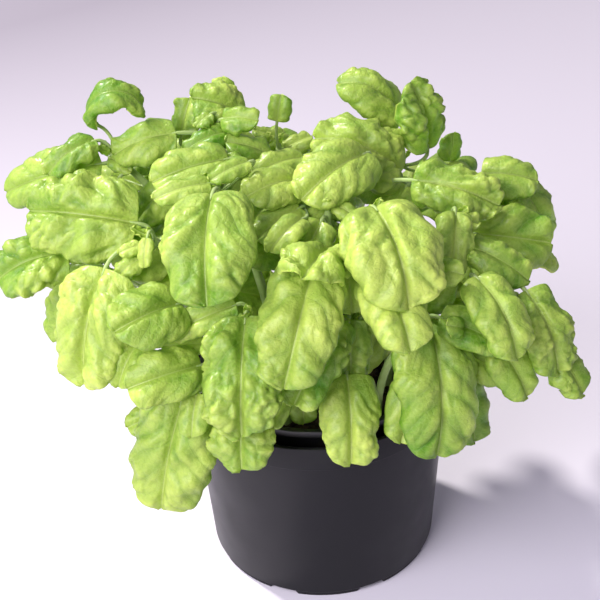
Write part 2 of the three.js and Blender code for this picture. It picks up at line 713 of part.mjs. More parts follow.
// The filling pairs of one stem: each pair is turned a quarter from the one below it.
function pairLeaves(shoot, number) {
  const random = randomFrom(pairs.seed + 37 * number);
  const vary = (size) => size * (2 * random() - 1);
  const leaves = [];
  const outward = Math.atan2(shoot.top[1], shoot.top[0]) * 180 / Math.PI;
  for (const level of shoot.fill) {
    const place = pairs.places[level];
    for (const side of [0, 180]) {
      const heading = radians(outward + 90 * (level % 2) + side + vary(2 * pairs.spread));
      const rise = radians(pairs.rise[level] + vary(pairs.spread));
      const along = vec(Math.cos(heading), Math.sin(heading), Math.tan(rise)).normalize();
      const root = stemPoint(shoot, place);
      const base = root.clone().addScaledVector(along, pairs.stalk[level]).add(vec(0, 0, pairs.lift));
      const long = pairs.long[level] * (1 + vary(pairs.longVary));
      const drop = vec(0, 0, -pairs.drop * long);
      const tip = base.clone().addScaledVector(along, pairs.reach * long).add(drop);
      const wide = pairs.wideShare * long;
      const bend = pairs.bend + vary(pairs.bendVary);
      const roll = vary(pairs.rollVary);
      leaves.push([...base.toArray(), ...tip.toArray(), wide, bend, roll, random()]);
    }
  }
  return leaves;
}

// What already has its place. Leaves of one stem may meet at their stalks but not at their blades.
const placed = [];

function isClear(candidate, bladeOnly, shootNumber) {
  for (const other of placed) {
    const same = other.shoot === shootNumber;
    const one = same ? bladeOnly : candidate;
    const two = same ? other.bladeOnly : other.solid;
    if (!two) continue;
    const a = one.boundingBox();
    const b = two.boundingBox();
    if ([0, 1, 2].some((k) => a.min[k] > b.max[k] || b.min[k] > a.max[k])) continue;
    if (one.intersect(two).volume() > touch) return false;
  }
  return true;
}

function placeLeaf(leaf, shoot, number, order, from) {
  const nominal = leafFrame(leaf, from);
  for (const bend of bends) {
    const frame = bendLeaf(nominal, bend);
    const root = stalkRoot(shoot, frame, order);
    const grown = leafSolid(frame, root, clearance);
    const bladeOnly = leafSolid(frame, null, clearance);
    if (isClear(grown, bladeOnly, number)) {
      const solid = leafSolid(frame, root, 0);
      placed.push({ shoot: number, solid, bladeOnly: leafSolid(frame, null, 0) });
      return solid;
    }
  }
  return null;
}

const leafMaterial = new THREE.MeshStandardMaterial({ color: 0x9cc93f, roughness: 0.5, metalness: 0 });
const potMaterial = new THREE.MeshStandardMaterial({ color: 0x3a3a40, roughness: 0.45, metalness: 0 });
const nurseryMaterial = new THREE.MeshStandardMaterial({ color: 0x121214, roughness: 0.5, metalness: 0 });
const soilMaterial = new THREE.MeshStandardMaterial({ color: 0x2c1f17, roughness: 0.95, metalness: 0 });

const group = new THREE.Group();
const outer = outerPot();
const inner = nurseryPot();
group.add(solidToMesh(outer, 'outer_pot', potMaterial));
group.add(solidToMesh(inner, 'nursery_pot', nurseryMaterial));
group.add(solidToMesh(soilBody(), 'soil', soilMaterial));
placed.push({ shoot: -1, solid: outer, bladeOnly: null }, { shoot: -2, solid: inner, bladeOnly: null });

const bodies = shoots.map((shoot, number) => {
  const solid = stemSolid(shoot, 0);
  placed.push({ shoot: number, solid, bladeOnly: null });
  return [solid];
});

// Widest leaves take their places first.
function growLeaves(jobs) {
  jobs.sort((a, b) => b.leaf[6] - a.leaf[6]);
  for (const { leaf, number, order, from } of jobs) {
    const solid = placeLeaf(leaf, shoots[number], number, order, from);
    if (solid) bodies[number].push(solid);
  }
}
growLeaves(shoots.flatMap((shoot, number) =>
  shoot.leaves.map((leaf, order) => ({ leaf, number, order, from: frontHeart }))));
growLeaves(shoots.flatMap((shoot, number) => pairLeaves(shoot, number)
  .map((leaf, k) => ({ leaf, number, order: pairs.firstOrder + k, from: heart }))));
shoots.forEach((shoot, number) => {
  const name = `leafy_stem_${String(number + 1).padStart(2, '0')}`;
  group.add(solidToMesh(joined(bodies[number]), name, leafMaterial));
});
export default group;
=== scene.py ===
import math
import bpy
import numpy as np
from mathutils import Matrix, Vector
from mathutils.kdtree import KDTree


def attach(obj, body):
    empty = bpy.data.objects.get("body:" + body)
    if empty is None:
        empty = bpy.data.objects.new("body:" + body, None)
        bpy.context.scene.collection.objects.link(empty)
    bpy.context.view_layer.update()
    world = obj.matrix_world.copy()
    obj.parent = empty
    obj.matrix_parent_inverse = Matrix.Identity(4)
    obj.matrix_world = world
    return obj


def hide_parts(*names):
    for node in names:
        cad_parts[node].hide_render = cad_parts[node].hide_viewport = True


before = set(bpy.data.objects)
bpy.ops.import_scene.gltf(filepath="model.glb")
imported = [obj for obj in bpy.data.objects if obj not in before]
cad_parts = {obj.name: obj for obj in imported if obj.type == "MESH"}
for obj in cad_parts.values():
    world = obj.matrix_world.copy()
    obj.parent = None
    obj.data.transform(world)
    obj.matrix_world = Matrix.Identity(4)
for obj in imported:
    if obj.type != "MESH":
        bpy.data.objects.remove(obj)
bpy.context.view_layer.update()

# Lettuce leaf basil in a nursery pot, standing in an anthracite outer pot.
# Lengths are in millimetres until a mesh is made, and -Y is the front.
mm = 0.001
anyPhase = 6.3  # a little over a whole turn, in radians, for random draws


# Colour and shader helpers


def linear(hexColour):
    # sRGB hex to linear light
    parts = [int(hexColour[i:i + 2], 16) / 255 for i in (1, 3, 5)]
    return (*[c / 12.92 if c <= 0.04045 else ((c + 0.055) / 1.055) ** 2.4 for c in parts], 1)


def newMaterial(name):
    material = bpy.data.materials.new(name)
    material.use_nodes = True
    material.node_tree.nodes.clear()
    return material, material.node_tree


def addNode(tree, kind, settings=None, out=0, **inputs):
    # adds a shader node and gives one of its outputs; an input is a value or another node's output,
    # and _3 is the input at place 3
    node = tree.nodes.new("ShaderNode" + kind)
    for key, value in (settings or {}).items():
        setattr(node, key, value)
    for key, value in inputs.items():
        socket = node.inputs[int(key[1:])] if key[1:].isdigit() else node.inputs[key.replace("_", " ")]
        if isinstance(value, bpy.types.NodeSocket):
            tree.links.new(value, socket)
        else:
            socket.default_value = value
    return node.outputs[out] if node.outputs else node


# Stems and leaves: where each stem stands, where its shoot tip is, and its leaves. A leaf is
# base x y z, tip x y z, width, bend, roll and pucker, as in the solids. Bend is the midrib's
# whole turn in degrees, roll turns the leaf about its own length, pucker goes from 0 to 1.
stems = [
    dict(foot=(-36, 14), top=(-95, 28, 210), fill=(2, 3), leaves=[
        (-98, 33, 221, -78, 33, 226, 22, 245, 0, 0.7),
        (-101, 24, 222, -124, 14, 210, 22, 80, -10, 1.0),
        (-96, 24, 206, -146, 28, 191, 34, 50, -20, 0.2),
        (-90, 16, 208, -114, 2, 200, 20, 40, 0, 0.4),
        (-95, 26, 209, -84, 18, 205, 11, 50, 0, 0.6),
    ]),
    dict(foot=(-34, -14), top=(-74, -23, 192), fill=(3,), leaves=[
        (-77, -16, 194, -129, -4, 197, 50, 60, -10, 0.5),
        (-92, -34, 184, -105, -58, 137, 47, 60, 0, 0.5),
        (-76, -30, 190, -86, -34, 188, 9, 40, 0, 0.3),
        (-72, -32, 196, -74, -38, 184, 9, 40, 0, 0.3),
        (-77, -33, 186, -89, -38, 178, 13, 60, 0, 1.0),
    ]),
    dict(foot=(-46, -2), top=(-108, -8, 172), fill=(1, 2), leaves=[
        (-112, -10, 178, -147, -14, 167, 36, 80, 0, 1.0),
        (-100, -2, 167, -125, -12, 130, 36, 60, 0, 0.5),
    ]),
    dict(foot=(-20, -6), top=(-43, -10, 208), fill=(2, 3), leaves=[
        (-43, -30, 215, -46, -74, 185, 50, 75, 0, 0.35),
        (-36, 6, 214, -72, -3, 208, 30, 50, -10, 0.2),
        (-38, 8, 216, -32, 0, 203, 16, 40, 0, 0.2),
        (-44, -14, 212, -70, -20, 208, 16, 50, 0, 0.5),
        (-27, -4, 214, -45, -14, 210, 13, 40, 0, 0.5),
        (-30, 0, 205, -40, -14, 197, 16, 30, 0, 0.1),
        (-59, 12, 202, -82, 4, 184, 28, 66, 0, 0.6),
    ]),
    dict(foot=(-20, 22), top=(-42, 46, 214), fill=(2, 3), leaves=[
        (-62, 44, 207, -56, 50, 226, 20, 40, 20, 1.0),
        (-31, 50, 214, -55, 46, 228, 33, 80, -20, 0.8),
        (-42, 58, 216, -41, 62, 231, 16, 30, 0, 0.4),
        (-45, 36, 222, -52, 32, 217, 11, 50, 0, 0.6),
        (-40, 34, 220, -23, 26, 219, 19, 60, 10, 0.6),
        (-35, 30, 218, -58, 20, 214, 18, 60, 0, 0.8),
        (-61, 28, 218, -92, 26, 209, 29, 60, -10, 0.3),
        (-66, 36, 204, -88, 36, 197, 18, 30, 0, 0.1),
    ]),
    dict(foot=(-4, -3), top=(-5, -3, 200), fill=(2, 3), leaves=[
        (-4, 2, 203, -30, -14, 204, 28, 70, 0, 0.6),
        (-5, -12, 198, -26, -26, 190, 20, 60, 0, 1.0),
        (-5, -26, 196, -20, -40, 188, 17, 100, 0, 0.6),
        (-12, -20, 178, -32, -30, 184, 20, 40, 0, 0.2),
        (-2, 20, 206, -26, 8, 204, 20, 60, 0, 0.5),
        (-8, 30, 203, -26, 20, 207, 16, 30, 10, 0.4),
        (-18, 24, 206, -39, 22, 215, 20, 50, 0, 0.6),
        (-10, 7, 197, -29, -3, 185, 24, 50, 0, 0.8),
    ]),
    dict(foot=(-9, 34), top=(-15, 66, 194), fill=(1, 2, 3), leaves=[
        (-15, 62, 206, -12, 66, 219, 16, 20, 0, 0.2),
        (-16, 70, 194, -27, 72, 198, 13, 30, 0, 0.3),
        (-12, 65, 190, 2, 70, 194, 17, 30, 0, 0.3),
    ]),
    dict(foot=(10, 6), top=(22, 10, 202), fill=(1, 2, 3), leaves=[
        (27, 12, 211, -5, -15, 202, 38, 70, 0, 0.3),
    ]),
    dict(foot=(5, -16), top=(7, -16, 199), fill=(2, 3), leaves=[
        (6, -14, 200, -8, -18, 199, 11, 60, 0, 0.6),
        (9, -14, 200, 20, -22, 196, 11, 60, 0, 0.6),
        (4, -26, 199, -4, -46, 180, 25, 60, 0, 0.7),
    ]),
    dict(foot=(22, 24), top=(46, 48, 190), fill=(2, 3), leaves=[
        (44, 60, 203, 16, 60, 226, 35, 130, -10, 0.4),
        (44, 30, 190, 3, 30, 211, 42, 110, -15, 0.7),
        (58, 40, 197, 50, 46, 231, 34, 50, 0, 1.0),
        (71, 56, 183, 73, 60, 197, 17, 30, 0, 0.3),
        (46, 6, 199, 86, -6, 190, 32, 60, 12, 1.0),
        (48, 24, 191, 25, 8, 186, 27, 60, 0, 0.5),
    ]),
    dict(foot=(16, -29), top=(27, -32, 204), fill=(2, 3), leaves=[
        (26, -36, 208, 38, -74, 180, 52, 95, 0, 0.35),
        (14, -38, 184, 15, -50, 163, 24, 30, 0, 0.0),
    ]),
    dict(foot=(38, 6), top=(76, 8, 184), fill=(2, 3), leaves=[
        (80, 20, 192, 106, 14, 186, 30, 50, 10, 0.0),
        (95, 16, 188, 109, 6, 157, 30, 70, 0, 0.2),
        (74, 0, 173, 111, -6, 169, 40, 50, 25, 0.2),
        (98, 26, 187, 114, 18, 156, 34, 60, 10, 0.2),
    ]),
    dict(foot=(34, -13), top=(64, -18, 192), fill=(3,), leaves=[
        (63, -24, 198, 58, -44, 176, 23, 60, 0, 1.0),
        (62, -18, 190, 74, -22, 190, 15, 60, 0, 1.0),
        (68, -27, 182, 94, -36, 166, 24, 50, 0, 0.4),
        (53, -44, 174, 67, -54, 178, 17, 80, 0, 0.3),
    ]),
    dict(foot=(41, -26), top=(84, -42, 164), fill=(), leaves=[
        (69, -46, 177, 84, -76, 153, 30, 80, 0, 0.4),
        (92, -42, 167, 106, -60, 134, 32, 80, 10, 0.8),
        (104, -50, 140, 118, -60, 121, 24, 50, 0, 0.8),
        (79, -56, 148, 92, -64, 124, 27, 40, 0, 0.4),
        (62, -54, 144, 83, -60, 134, 24, 30, 0, 0.1),
    ]),
    dict(foot=(27, -38), top=(48, -50, 158), fill=(), leaves=[
        (48, -52, 162, 50, -82, 107, 47, 80, 0, 0.1),
        (64, -49, 128, 71, -56, 93, 28, 30, 0, 0.3),
        (42, -60, 134, 34, -72, 108, 26, 20, 0, 0.1),
        (52, -57, 164, 80, -64, 152, 22, 50, 0, 0.4),
        (60, -62, 160, 52, -70, 168, 12, 90, 0, 0.3),
        (46, -48, 162, 58, -46, 178, 22, 60, 0, 0.3),
    ]),
    dict(foot=(6, -43), top=(14, -46, 156), fill=(), leaves=[
        (12, -56, 136, 12, -80, 103, 35, 70, 0, 0.5),
        (14, -48, 160, 14, -58, 131, 24, 40, 0, 0.8),
        (34, -40, 162, 16, -43, 150, 22, 30, 0, 0.1),
        (33, -42, 150, 26, -51, 118, 24, 30, 0, 0.1),
    ]),
    dict(foot=(-3, -30), top=(3, -40, 184), fill=(), leaves=[
        (0, -44, 188, -16, -84, 147, 43, 80, 0, 0.25),
        (-9, -42, 124, -8, -48, 103, 18, 20, 0, 0.1),
        (-16, -56, 128, -24, -67, 115, 16, 30, 0, 0.2),
    ]),
    dict(foot=(-16, -40), top=(-30, -56, 168), fill=(), leaves=[
        (-31, -57, 170, -35, -89, 128, 44, 70, 0, 0.9),
        (-26, -61, 165, -18, -69, 156, 13, 80, 0, 0.4),
        (-34, -52, 172, -65, -57, 162, 19, 50, 0, 0.8),
        (-35, -68, 128, -36, -84, 106, 35, 60, 0, 0.7),
    ]),
    dict(foot=(-40, -24), top=(-62, -46, 174), fill=(), leaves=[
        (-60, -48, 170, -90, -64, 169, 37, 70, 0, 0.4),
        (-78, -53, 160, -94, -68, 149, 23, 70, 0, 0.4),
        (-49, -44, 176, -62, -44, 191, 17, 30, 0, 0.2),
        (-66, -18, 174, -83, -22, 167, 23, 60, 0, 0.6),
    ]),
    dict(foot=(-29, -38), top=(-56, -60, 134), fill=(), leaves=[
        (-61, -61, 131, -76, -70, 73, 50, 40, 0, 0.1),
        (-55, -67, 137, -58, -80, 122, 18, 40, 0, 0.1),
        (-52, -57, 144, -84, -71, 143, 31, 80, 0, 0.3),
        (-50, -50, 151, -70, -52, 152, 13, 40, 0, 0.2),
        (-74, -50, 114, -90, -53, 108, 18, 40, 0, 0.3),
    ]),
    dict(foot=(3, 45), top=(12, 82, 168), fill=(0, 1, 2, 3), leaves=[]),
    dict(foot=(32, 36), top=(60, 68, 160), fill=(0, 1, 2, 3), leaves=[]),
    dict(foot=(-32, 34), top=(-64, 68, 168), fill=(0, 1, 2, 3), leaves=[]),
    dict(foot=(44, 22), top=(88, 44, 156), fill=(0, 1, 2, 3), leaves=[]),
]
stemForm = dict(soilTop=98, footRadius=2.4, tipRadius=1.7, depthInSoil=9, waist=0.55)
bladeForm = dict(thick=0.9, fold=30, droop=78, sweep=0.24, broadAt=0.78, bluntness=0.46, fullness=1.07,
                 ruffle=1.5, leastRuffle=0.35, waves=5, waveSlant=2, leastBend=2, smallBelow=27,
                 rows=(0.06, 0.32, 0.64, 0.92), smallRows=(0.12, 0.5, 0.88))
pairForm = dict(places=(0.99, 0.86, 0.7, 0.5), long=(36, 46, 50, 42), wideShare=0.74, stalk=(9, 15, 18, 16),
                rise=(48, 30, 14, 0), bend=62, bendVary=20, rollVary=14, longVary=0.15, spread=12,
                lift=3, reach=0.85, drop=0.45, seed=5, seedStep=37, firstOrder=9)
rootForm = dict(lowest=0.3, apart=0.0017, highest=0.97, step=0.02, below=6)
stepForm = dict(degrees=6, out=2.2, sizes=(1, 2, 3, 4), surelyHere=0.1, notHere=0.4)
waysToBend = ((1, 0, 0), (-1, 0, 0), (0, 1, 0), (0, -1, 0), (0, 0, 1), (0, 0, -1),
              (1, 1, 1), (-1, -1, -1), (1, -1, 1), (-1, 1, -1))
heart = np.array((-8, 20, 80))
frontHeart = np.array((-8, 110, 20))


def randomFrom(seed):
    # the small repeatable random source that the solids use
    state = [seed]

    def draw():
        state[0] = state[0] * 16807 % 2147483647
        return state[0] / 2147483647
    return draw


def unit(v):
    return v / np.linalg.norm(v, axis=-1, keepdims=True)


def turnedAbout(v, axis, angle):
    return (v * math.cos(angle) + np.cross(axis, v) * math.sin(angle)
            + axis * np.dot(axis, v) * (1 - math.cos(angle)))


def stemPoint(stem, share):
    # straight up out of the soil, then curving out to the shoot tip
    share = np.asarray(share, float)[..., None]
    foot = np.array((*stem["foot"], stemForm["soilTop"]), float)
    top = np.array(stem["top"], float)
    waist = foot.copy()
    waist[2] += stemForm["waist"] * (top[2] - foot[2])
    return (1 - share) ** 2 * foot + 2 * share * (1 - share) * waist + share ** 2 * top


def leafFrame(leaf, facedFrom):
    base, tip = np.array(leaf[:3], float), np.array(leaf[3:6], float)
    across, bend, roll, pucker = leaf[6:]
    chord = np.linalg.norm(tip - base)
    along = (tip - base) / chord
    face = (base + tip) / 2 - facedFrom
    face = unit(face - along * np.dot(face, along))
    face = turnedAbout(face, along, math.radians(roll))
    turn = math.radians(max(bend, bladeForm["leastBend"]))
    radius = chord / (2 * math.sin(turn / 2))
    return dict(base=base, along=along, face=face, turn=turn, radius=radius,
                long=radius * turn, wide=bladeForm["fullness"] * across, pucker=pucker)


def bendLeaf(leaf, lift, swing, out):
    side = np.cross(leaf["face"], leaf["along"])
    along = turnedAbout(leaf["along"], side, math.radians(-lift))
    face = turnedAbout(leaf["face"], side, math.radians(-lift))
    along = turnedAbout(along, face, math.radians(swing))
    return dict(leaf, along=along, face=face, base=leaf["base"] + leaf["face"] * out)


def halfWidth(leaf, share):
    bulge = np.sin(np.pi * np.clip(share, 0, 1) ** bladeForm["broadAt"]).clip(0)
    return 0.5 * leaf["wide"] * bulge ** bladeForm["bluntness"]


def bladeSurface(leaf, share, across, trim=1.0):
    # the blade's middle surface, with its length and width coordinates in mm
    share, across = np.broadcast_arrays(np.asarray(share, float), np.asarray(across, float))
    forward = share + bladeForm["sweep"] * np.abs(across) * np.sqrt(share) * (1 - share)
    flat = across * halfWidth(leaf, forward) * trim
    angle = leaf["turn"] * (forward - 0.5)
    half = leaf["turn"] / 2
    x = leaf["radius"] * (np.sin(angle) + math.sin(half))
    rise = leaf["radius"] * (np.cos(angle) - math.cos(half))
    fold = math.radians(bladeForm["fold"])
    turn = math.radians(bladeForm["fold"] + bladeForm["droop"])
    reach = leaf["wide"] / 2
    q = np.abs(flat) / reach
    side = np.sign(across) * reach * (math.sin(fold) - np.sin(fold - turn * q)) / turn
    lift = reach * (np.cos(fold - turn * q) - math.cos(fold)) / turn
    wave = np.sin(bladeForm["waves"] * np.pi * share + bladeForm["waveSlant"] * across) * across ** 2
    lift = lift + bladeForm["ruffle"] * (bladeForm["leastRuffle"] + leaf["pucker"]) * wave
    sideways = np.cross(leaf["face"], leaf["along"])
    place = (leaf["base"] + (x + np.sin(angle) * lift)[..., None] * leaf["along"]
             + (rise + np.cos(angle) * lift)[..., None] * leaf["face"] + side[..., None] * sideways)
    return place, forward * leaf["long"], flat


def solidCorners(leaf):
    # a few corners of the leaf as its solid has them: the tip and the rim, above and below
    small = leaf["wide"] < bladeForm["smallBelow"]
    rows = bladeForm["smallRows"] if small else bladeForm["rows"]
    share = np.array([1.0] + [row for row in rows for _ in (0, 1)])
    across = np.array([0.0] + [side for _ in rows for side in (-1.0, 1.0)])
    step = 0.02
    surface = lambda s, a: bladeSurface(leaf, s, a)[0]
    lengthwise = surface(np.minimum(share + step, 1), across) - surface(np.maximum(share - step, 0), across)
    crosswise = surface(share, np.minimum(across + step, 1)) - surface(share, np.maximum(across - step, -1))
    out = unit(np.cross(lengthwise, crosswise))
    here = surface(share, across)
    return np.concatenate([here + out * bladeForm["thick"] / 2, here - out * bladeForm["thick"] / 2])


def pairLeaves(stem, number):
    # pairs of leaves that fill the stem, each turned a quarter from the one below it
    draw = randomFrom(pairForm["seed"] + pairForm["seedStep"] * number)
    vary = lambda size: size * (2 * draw() - 1)
    leaves = []
    outward = math.degrees(math.atan2(stem["top"][1], stem["top"][0]))
    for level in stem["fill"]:
        for side in (0, 180):
            heading = math.radians(outward + 90 * (level % 2) + side + vary(2 * pairForm["spread"]))
            rise = math.radians(pairForm["rise"][level] + vary(pairForm["spread"]))
            along = unit(np.array((math.cos(heading), math.sin(heading), math.tan(rise))))
            base = stemPoint(stem, pairForm["places"][level]) + along * pairForm["stalk"][level]
            base = base + (0, 0, pairForm["lift"])
            long = pairForm["long"][level] * (1 + vary(pairForm["longVary"]))
            tip = base + along * pairForm["reach"] * long + (0, 0, -pairForm["drop"] * long)
            bend = pairForm["bend"] + vary(pairForm["bendVary"])
            roll = vary(pairForm["rollVary"])
            leaves.append((*base, *tip, pairForm["wideShare"] * long, bend, roll, draw()))
    return leaves


def stalkRoot(stem, leaf, order):
    # the stalk leaves the stem where that passes nearest below the blade
    lowest = rootForm["lowest"] + rootForm["apart"] * order
    points = stemPoint(stem, np.arange(lowest, rootForm["highest"], rootForm["step"]))
    away = np.linalg.norm(points - (leaf["base"] + (0, 0, -rootForm["below"])), axis=1)
    return points[np.argmin(away)]


def placedLeaves(number):
    # each leaf as its solid stands: of all the ways to bend it clear, the one that the solid's
    # own corners show; a leaf that found no place there is left out here too
    stem = stems[number]
    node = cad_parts[f"leafy_stem_{number + 1:02d}"]
    tree = KDTree(len(node.data.vertices))
    for vertex in node.data.vertices:
        tree.insert(node.matrix_world @ vertex.co / mm, vertex.index)
    tree.balance()
    step = (stepForm["degrees"], stepForm["degrees"], stepForm["out"])
    bends = [(0, 0, 0)] + [tuple(each * size * way for each, way in zip(step, ways))
                           for size in stepForm["sizes"] for ways in waysToBend]
    jobs = [(leaf, order, frontHeart) for order, leaf in enumerate(stem["leaves"])]
    jobs += [(leaf, pairForm["firstOrder"] + k, heart) for k, leaf in enumerate(pairLeaves(stem, number))]
    placed = []
    for leaf, order, facedFrom in jobs:
        nominal = leafFrame(leaf, facedFrom)
        tries = []
        for bend in bends:
            bent = bendLeaf(nominal, *bend)
            off = [tree.find(corner)[2] for corner in solidCorners(bent)]
            tries.append((float(np.median(off)), len(tries), bent))
            if tries[-1][0] < stepForm["surelyHere"]:
                break
        miss, which, bent = min(tries, key=lambda t: t[:2])
        if miss > stepForm["notHere"]:
            continue
        bent["root"] = stalkRoot(stem, bent, order)
        placed.append(bent)
    return placed


# Mesh helpers: points in mm, faces as quads


class Pile:
    # gathers points, quads, their material and what the shaders read
    def __init__(self):
        self.points, self.quads, self.slots = [], [], []
        self.values = {"under": [], "crest": [], "tint": [], "vein": []}
        self.maps = []
        self.count = 0

    def add(self, points, quads, slot=0, spot=None, **values):
        points = points.reshape(-1, 3)
        self.points.append(points)
        self.quads.append(np.asarray(quads) + self.count)
        self.slots.append(np.full(len(quads), slot))
        for key, column in self.values.items():
            column.append(np.broadcast_to(np.asarray(values.get(key, 0.0), float).ravel(), len(points)))
        self.maps.append(np.zeros((len(points), 2)) if spot is None else spot.reshape(-1, 2))
        self.count += len(points)

    def make(self, name, materials):
        points = np.concatenate(self.points) * mm
        quads = np.concatenate(self.quads).astype(np.int32)
        mesh = bpy.data.meshes.new(name)
        mesh.vertices.add(len(points))
        mesh.vertices.foreach_set("co", points.astype(np.float32).ravel())
        mesh.loops.add(quads.size)
        mesh.loops.foreach_set("vertex_index", quads.ravel())
        mesh.polygons.add(len(quads))
        mesh.polygons.foreach_set("loop_start", np.arange(0, quads.size, 4, dtype=np.int32))
        mesh.polygons.foreach_set("material_index", np.concatenate(self.slots).astype(np.int32))
        mesh.update(calc_edges=True)
        mesh.polygons.foreach_set("use_smooth", np.ones(len(quads), bool))
        for key, column in self.values.items():
            layer = mesh.attributes.new(key, "FLOAT", "POINT")
            layer.data.foreach_set("value", np.concatenate(column).astype(np.float32))
        bladeMap = mesh.uv_layers.new(name="bladeMap")
        bladeMap.data.foreach_set("uv", np.concatenate(self.maps)[quads.ravel()].astype(np.float32).ravel())
        for material in materials:
            mesh.materials.append(material)
        piece = bpy.data.objects.new(name, mesh)
        bpy.context.collection.objects.link(piece)
        return piece


def sheetQuads(rows, columns):
    r, c = np.meshgrid(np.arange(rows - 1), np.arange(columns - 1), indexing="ij")
    first = (r * columns + c).ravel()
    return np.stack([first, first + columns, first + columns + 1, first + 1], axis=1)


def slabQuads(rows, columns):
    # an upper sheet, a lower one below it and the strip that closes them all round
    upper = sheetQuads(rows, columns)
    size = rows * columns
    rim = [r * columns for r in range(rows)] + [(rows - 1) * columns + c for c in range(1, columns)]
    rim += [r * columns + columns - 1 for r in range(rows - 2, -1, -1)] + list(range(columns - 2, 0, -1))
    here, after = np.array(rim), np.roll(rim, -1)
    strip = np.stack([after, here, here + size, after + size], axis=1)
    return np.concatenate([upper, upper[:, ::-1] + size, strip])


def tubeQuads(rings, sides):
    # a tube of rings, with its two ends closed by strips of quads; sides is even
    r, s = np.meshgrid(np.arange(rings - 1), np.arange(sides), indexing="ij")
    first, beside = (r * sides + s).ravel(), (r * sides + (s + 1) % sides).ravel()
    wall = np.stack([first, beside, beside + sides, first + sides], axis=1)
    k = np.arange(sides // 2 - 1)
    cap = np.stack([k, sides - 1 - k, sides - 2 - k, k + 1], axis=1)
    return np.concatenate([wall, cap, cap[:, ::-1] + (rings - 1) * sides])


def tubePoints(path, radii, section, startSide):
    # section is points round the unit circle; each ring follows on from the last without twist
    along = unit(np.gradient(path, axis=0))
    side = unit(startSide - along[0] * np.dot(startSide, along[0]))
    rings = []
    for centre, forward, radius in zip(path, along, radii):
        side = unit(side - forward * np.dot(side, forward))
        front = np.cross(forward, side)
        rings.append(centre + radius * (section[:, :1] * side + section[:, 1:] * front))
    return np.array(rings)


def smoothStep(x, low, high):
    t = np.clip((x - low) / (high - low), 0, 1)
    return t * t * (3 - 2 * t)


# Leaf relief: the two inflated halves, the swollen panels between side veins, the blisters and the
# crinkled rim that a lettuce leaf has and its solid leaves out. Lengths are in mm. A value with
# Pucker in its name is what the most puckered leaf has more, or less, than the smoothest.
bladeMesh = dict(grain=0.96, leastRows=16, leastColumns=7, arcShare=0.62, start=0.03, span=0.968, even=0.45,
                 thick=0.46, rimThick=0.26, thinFrom=0.85)
veinForm = dict(apart=13, fewest=3, slope=0.8, curve=0.02, wander=2.4, wanderLong=2.3, wanderFrom=8,
                stagger=0.6)
outlineForm = dict(full=1.1, broadAt=0.86, roundness=0.5, tipRoundness=0.3, tipBlend=(0.6, 0.95),
                   tipFrom=0.89, nearEnd=0.998, notch=0.03, leastNotch=0.5, notchPower=6, lobeRound=0.6,
                   lobesFrom=(0.1, 0.3), lobesTo=(0.02, 0.15))
# The colour values near the end of relief set the crest attribute: a midrib paler in its own colour, and a
# thin painted highlight along the rim.
relief = dict(fullAt=44, largest=1.1, puckerCurve=1.5, besideMidrib=(0.2, 3.5),
              rimFade=0.8, rimFadePucker=0.35, rimFadeFrom=0.7,
              panel=1.2, panelPucker=-0.6, creaseWide=2.0, panelVary=(0.8, 1.15),
              cellScale=0.7, cellVary=(0.9, 1.15),
              bubble=0.9, bubblePucker=1.5, bubbleCell=13, bubbleCrease=1.5,
              blister=0.55, blisterPucker=2.3, blisterCell=5.8, blisterCrease=0.9, blisterFrom=(0.2, 3),
              crinkle=0.25, crinklePucker=0.85, crinkleCell=3.3, crinkleCrease=0.5, crinkleFrom=(0.1, 0.5),
              swell=1.3, swellPucker=0.5, swellFrom=5, waves=4, waveLong=(12, 26), waveShare=2.5,
              inflate=0.7, inflatePucker=1.4, inflateWide=2.8, settle=0.45, midribShare=0.45,
              frill=0.2, frillPucker=1.3, frillLong=(7, 11), rimRoll=1.9, rollPower=9, rootFlat=(0.02, 0.18),
              midribGroove=0.5, grooveWide=0.9, grooveFade=0.6,
              midribBelow=0.7, midribWide=0.9, midribFade=0.8,
              paleMidrib=0.5, paleLess=0.1, paintedRimHighlight=1.1, paintedRimHighlightFrom=0.93, seed=73)
# where the fine puckers are strong and where they are weak: a slow wave along and across the leaf
patchForm = dict(mean=0.9, vary=0.6, shift=40, long=7, halves=2.5, bend=1.5, wide=6)
domeForm = dict(jitter=0.42, lowest=0.55)


def cellDomes(u, v, cell, crease, rng):
    # flat-topped domes on a jittered net of points, with narrow valleys where two domes meet
    across, down = np.meshgrid(np.arange(u.min() - cell, u.max() + cell, cell),
                               np.arange(v.min() - cell, v.max() + cell, cell))
    seeds = np.stack([across.ravel(), down.ravel()], axis=1)
    seeds += rng.uniform(-domeForm["jitter"], domeForm["jitter"], seeds.shape) * cell
    away = np.hypot(u.ravel()[:, None] - seeds[:, 0], v.ravel()[:, None] - seeds[:, 1])
    nearest = np.partition(away, 1, axis=1)[:, :2]
    dome = 1 - np.exp(-(nearest[:, 1] - nearest[:, 0]) / (2 * crease))
    heights = rng.uniform(domeForm["lowest"], 1.0, len(seeds))
    return (dome * heights[np.argmin(away, axis=1)]).reshape(u.shape)


def bladeGrid(leaf):
    # rows along the leaf, closer together near its two ends, and columns from rim to rim;
    # s and flat are the length along the midrib and the distance from it
    m = bladeMesh
    rows = max(m["leastRows"], int(leaf["long"] / m["grain"]))
    columns = 2 * max(m["leastColumns"], int(m["arcShare"] * leaf["wide"] / m["grain"])) + 1
    t = np.linspace(0, 1, rows)
    slow = 0.5 - 0.5 * np.cos(np.pi * t)
    share = m["start"] + m["span"] * (m["even"] * t + (1 - m["even"]) * slow)[:, None]
    across = np.linspace(-1, 1, columns)[None, :]
    s, flat = bladeSurface(leaf, share, across)[1:]
    return dict(share=share, across=across, s=s, flat=flat, beside=np.abs(flat),
                rimward=np.abs(across) + 0 * share, half=(across > 0).astype(int))


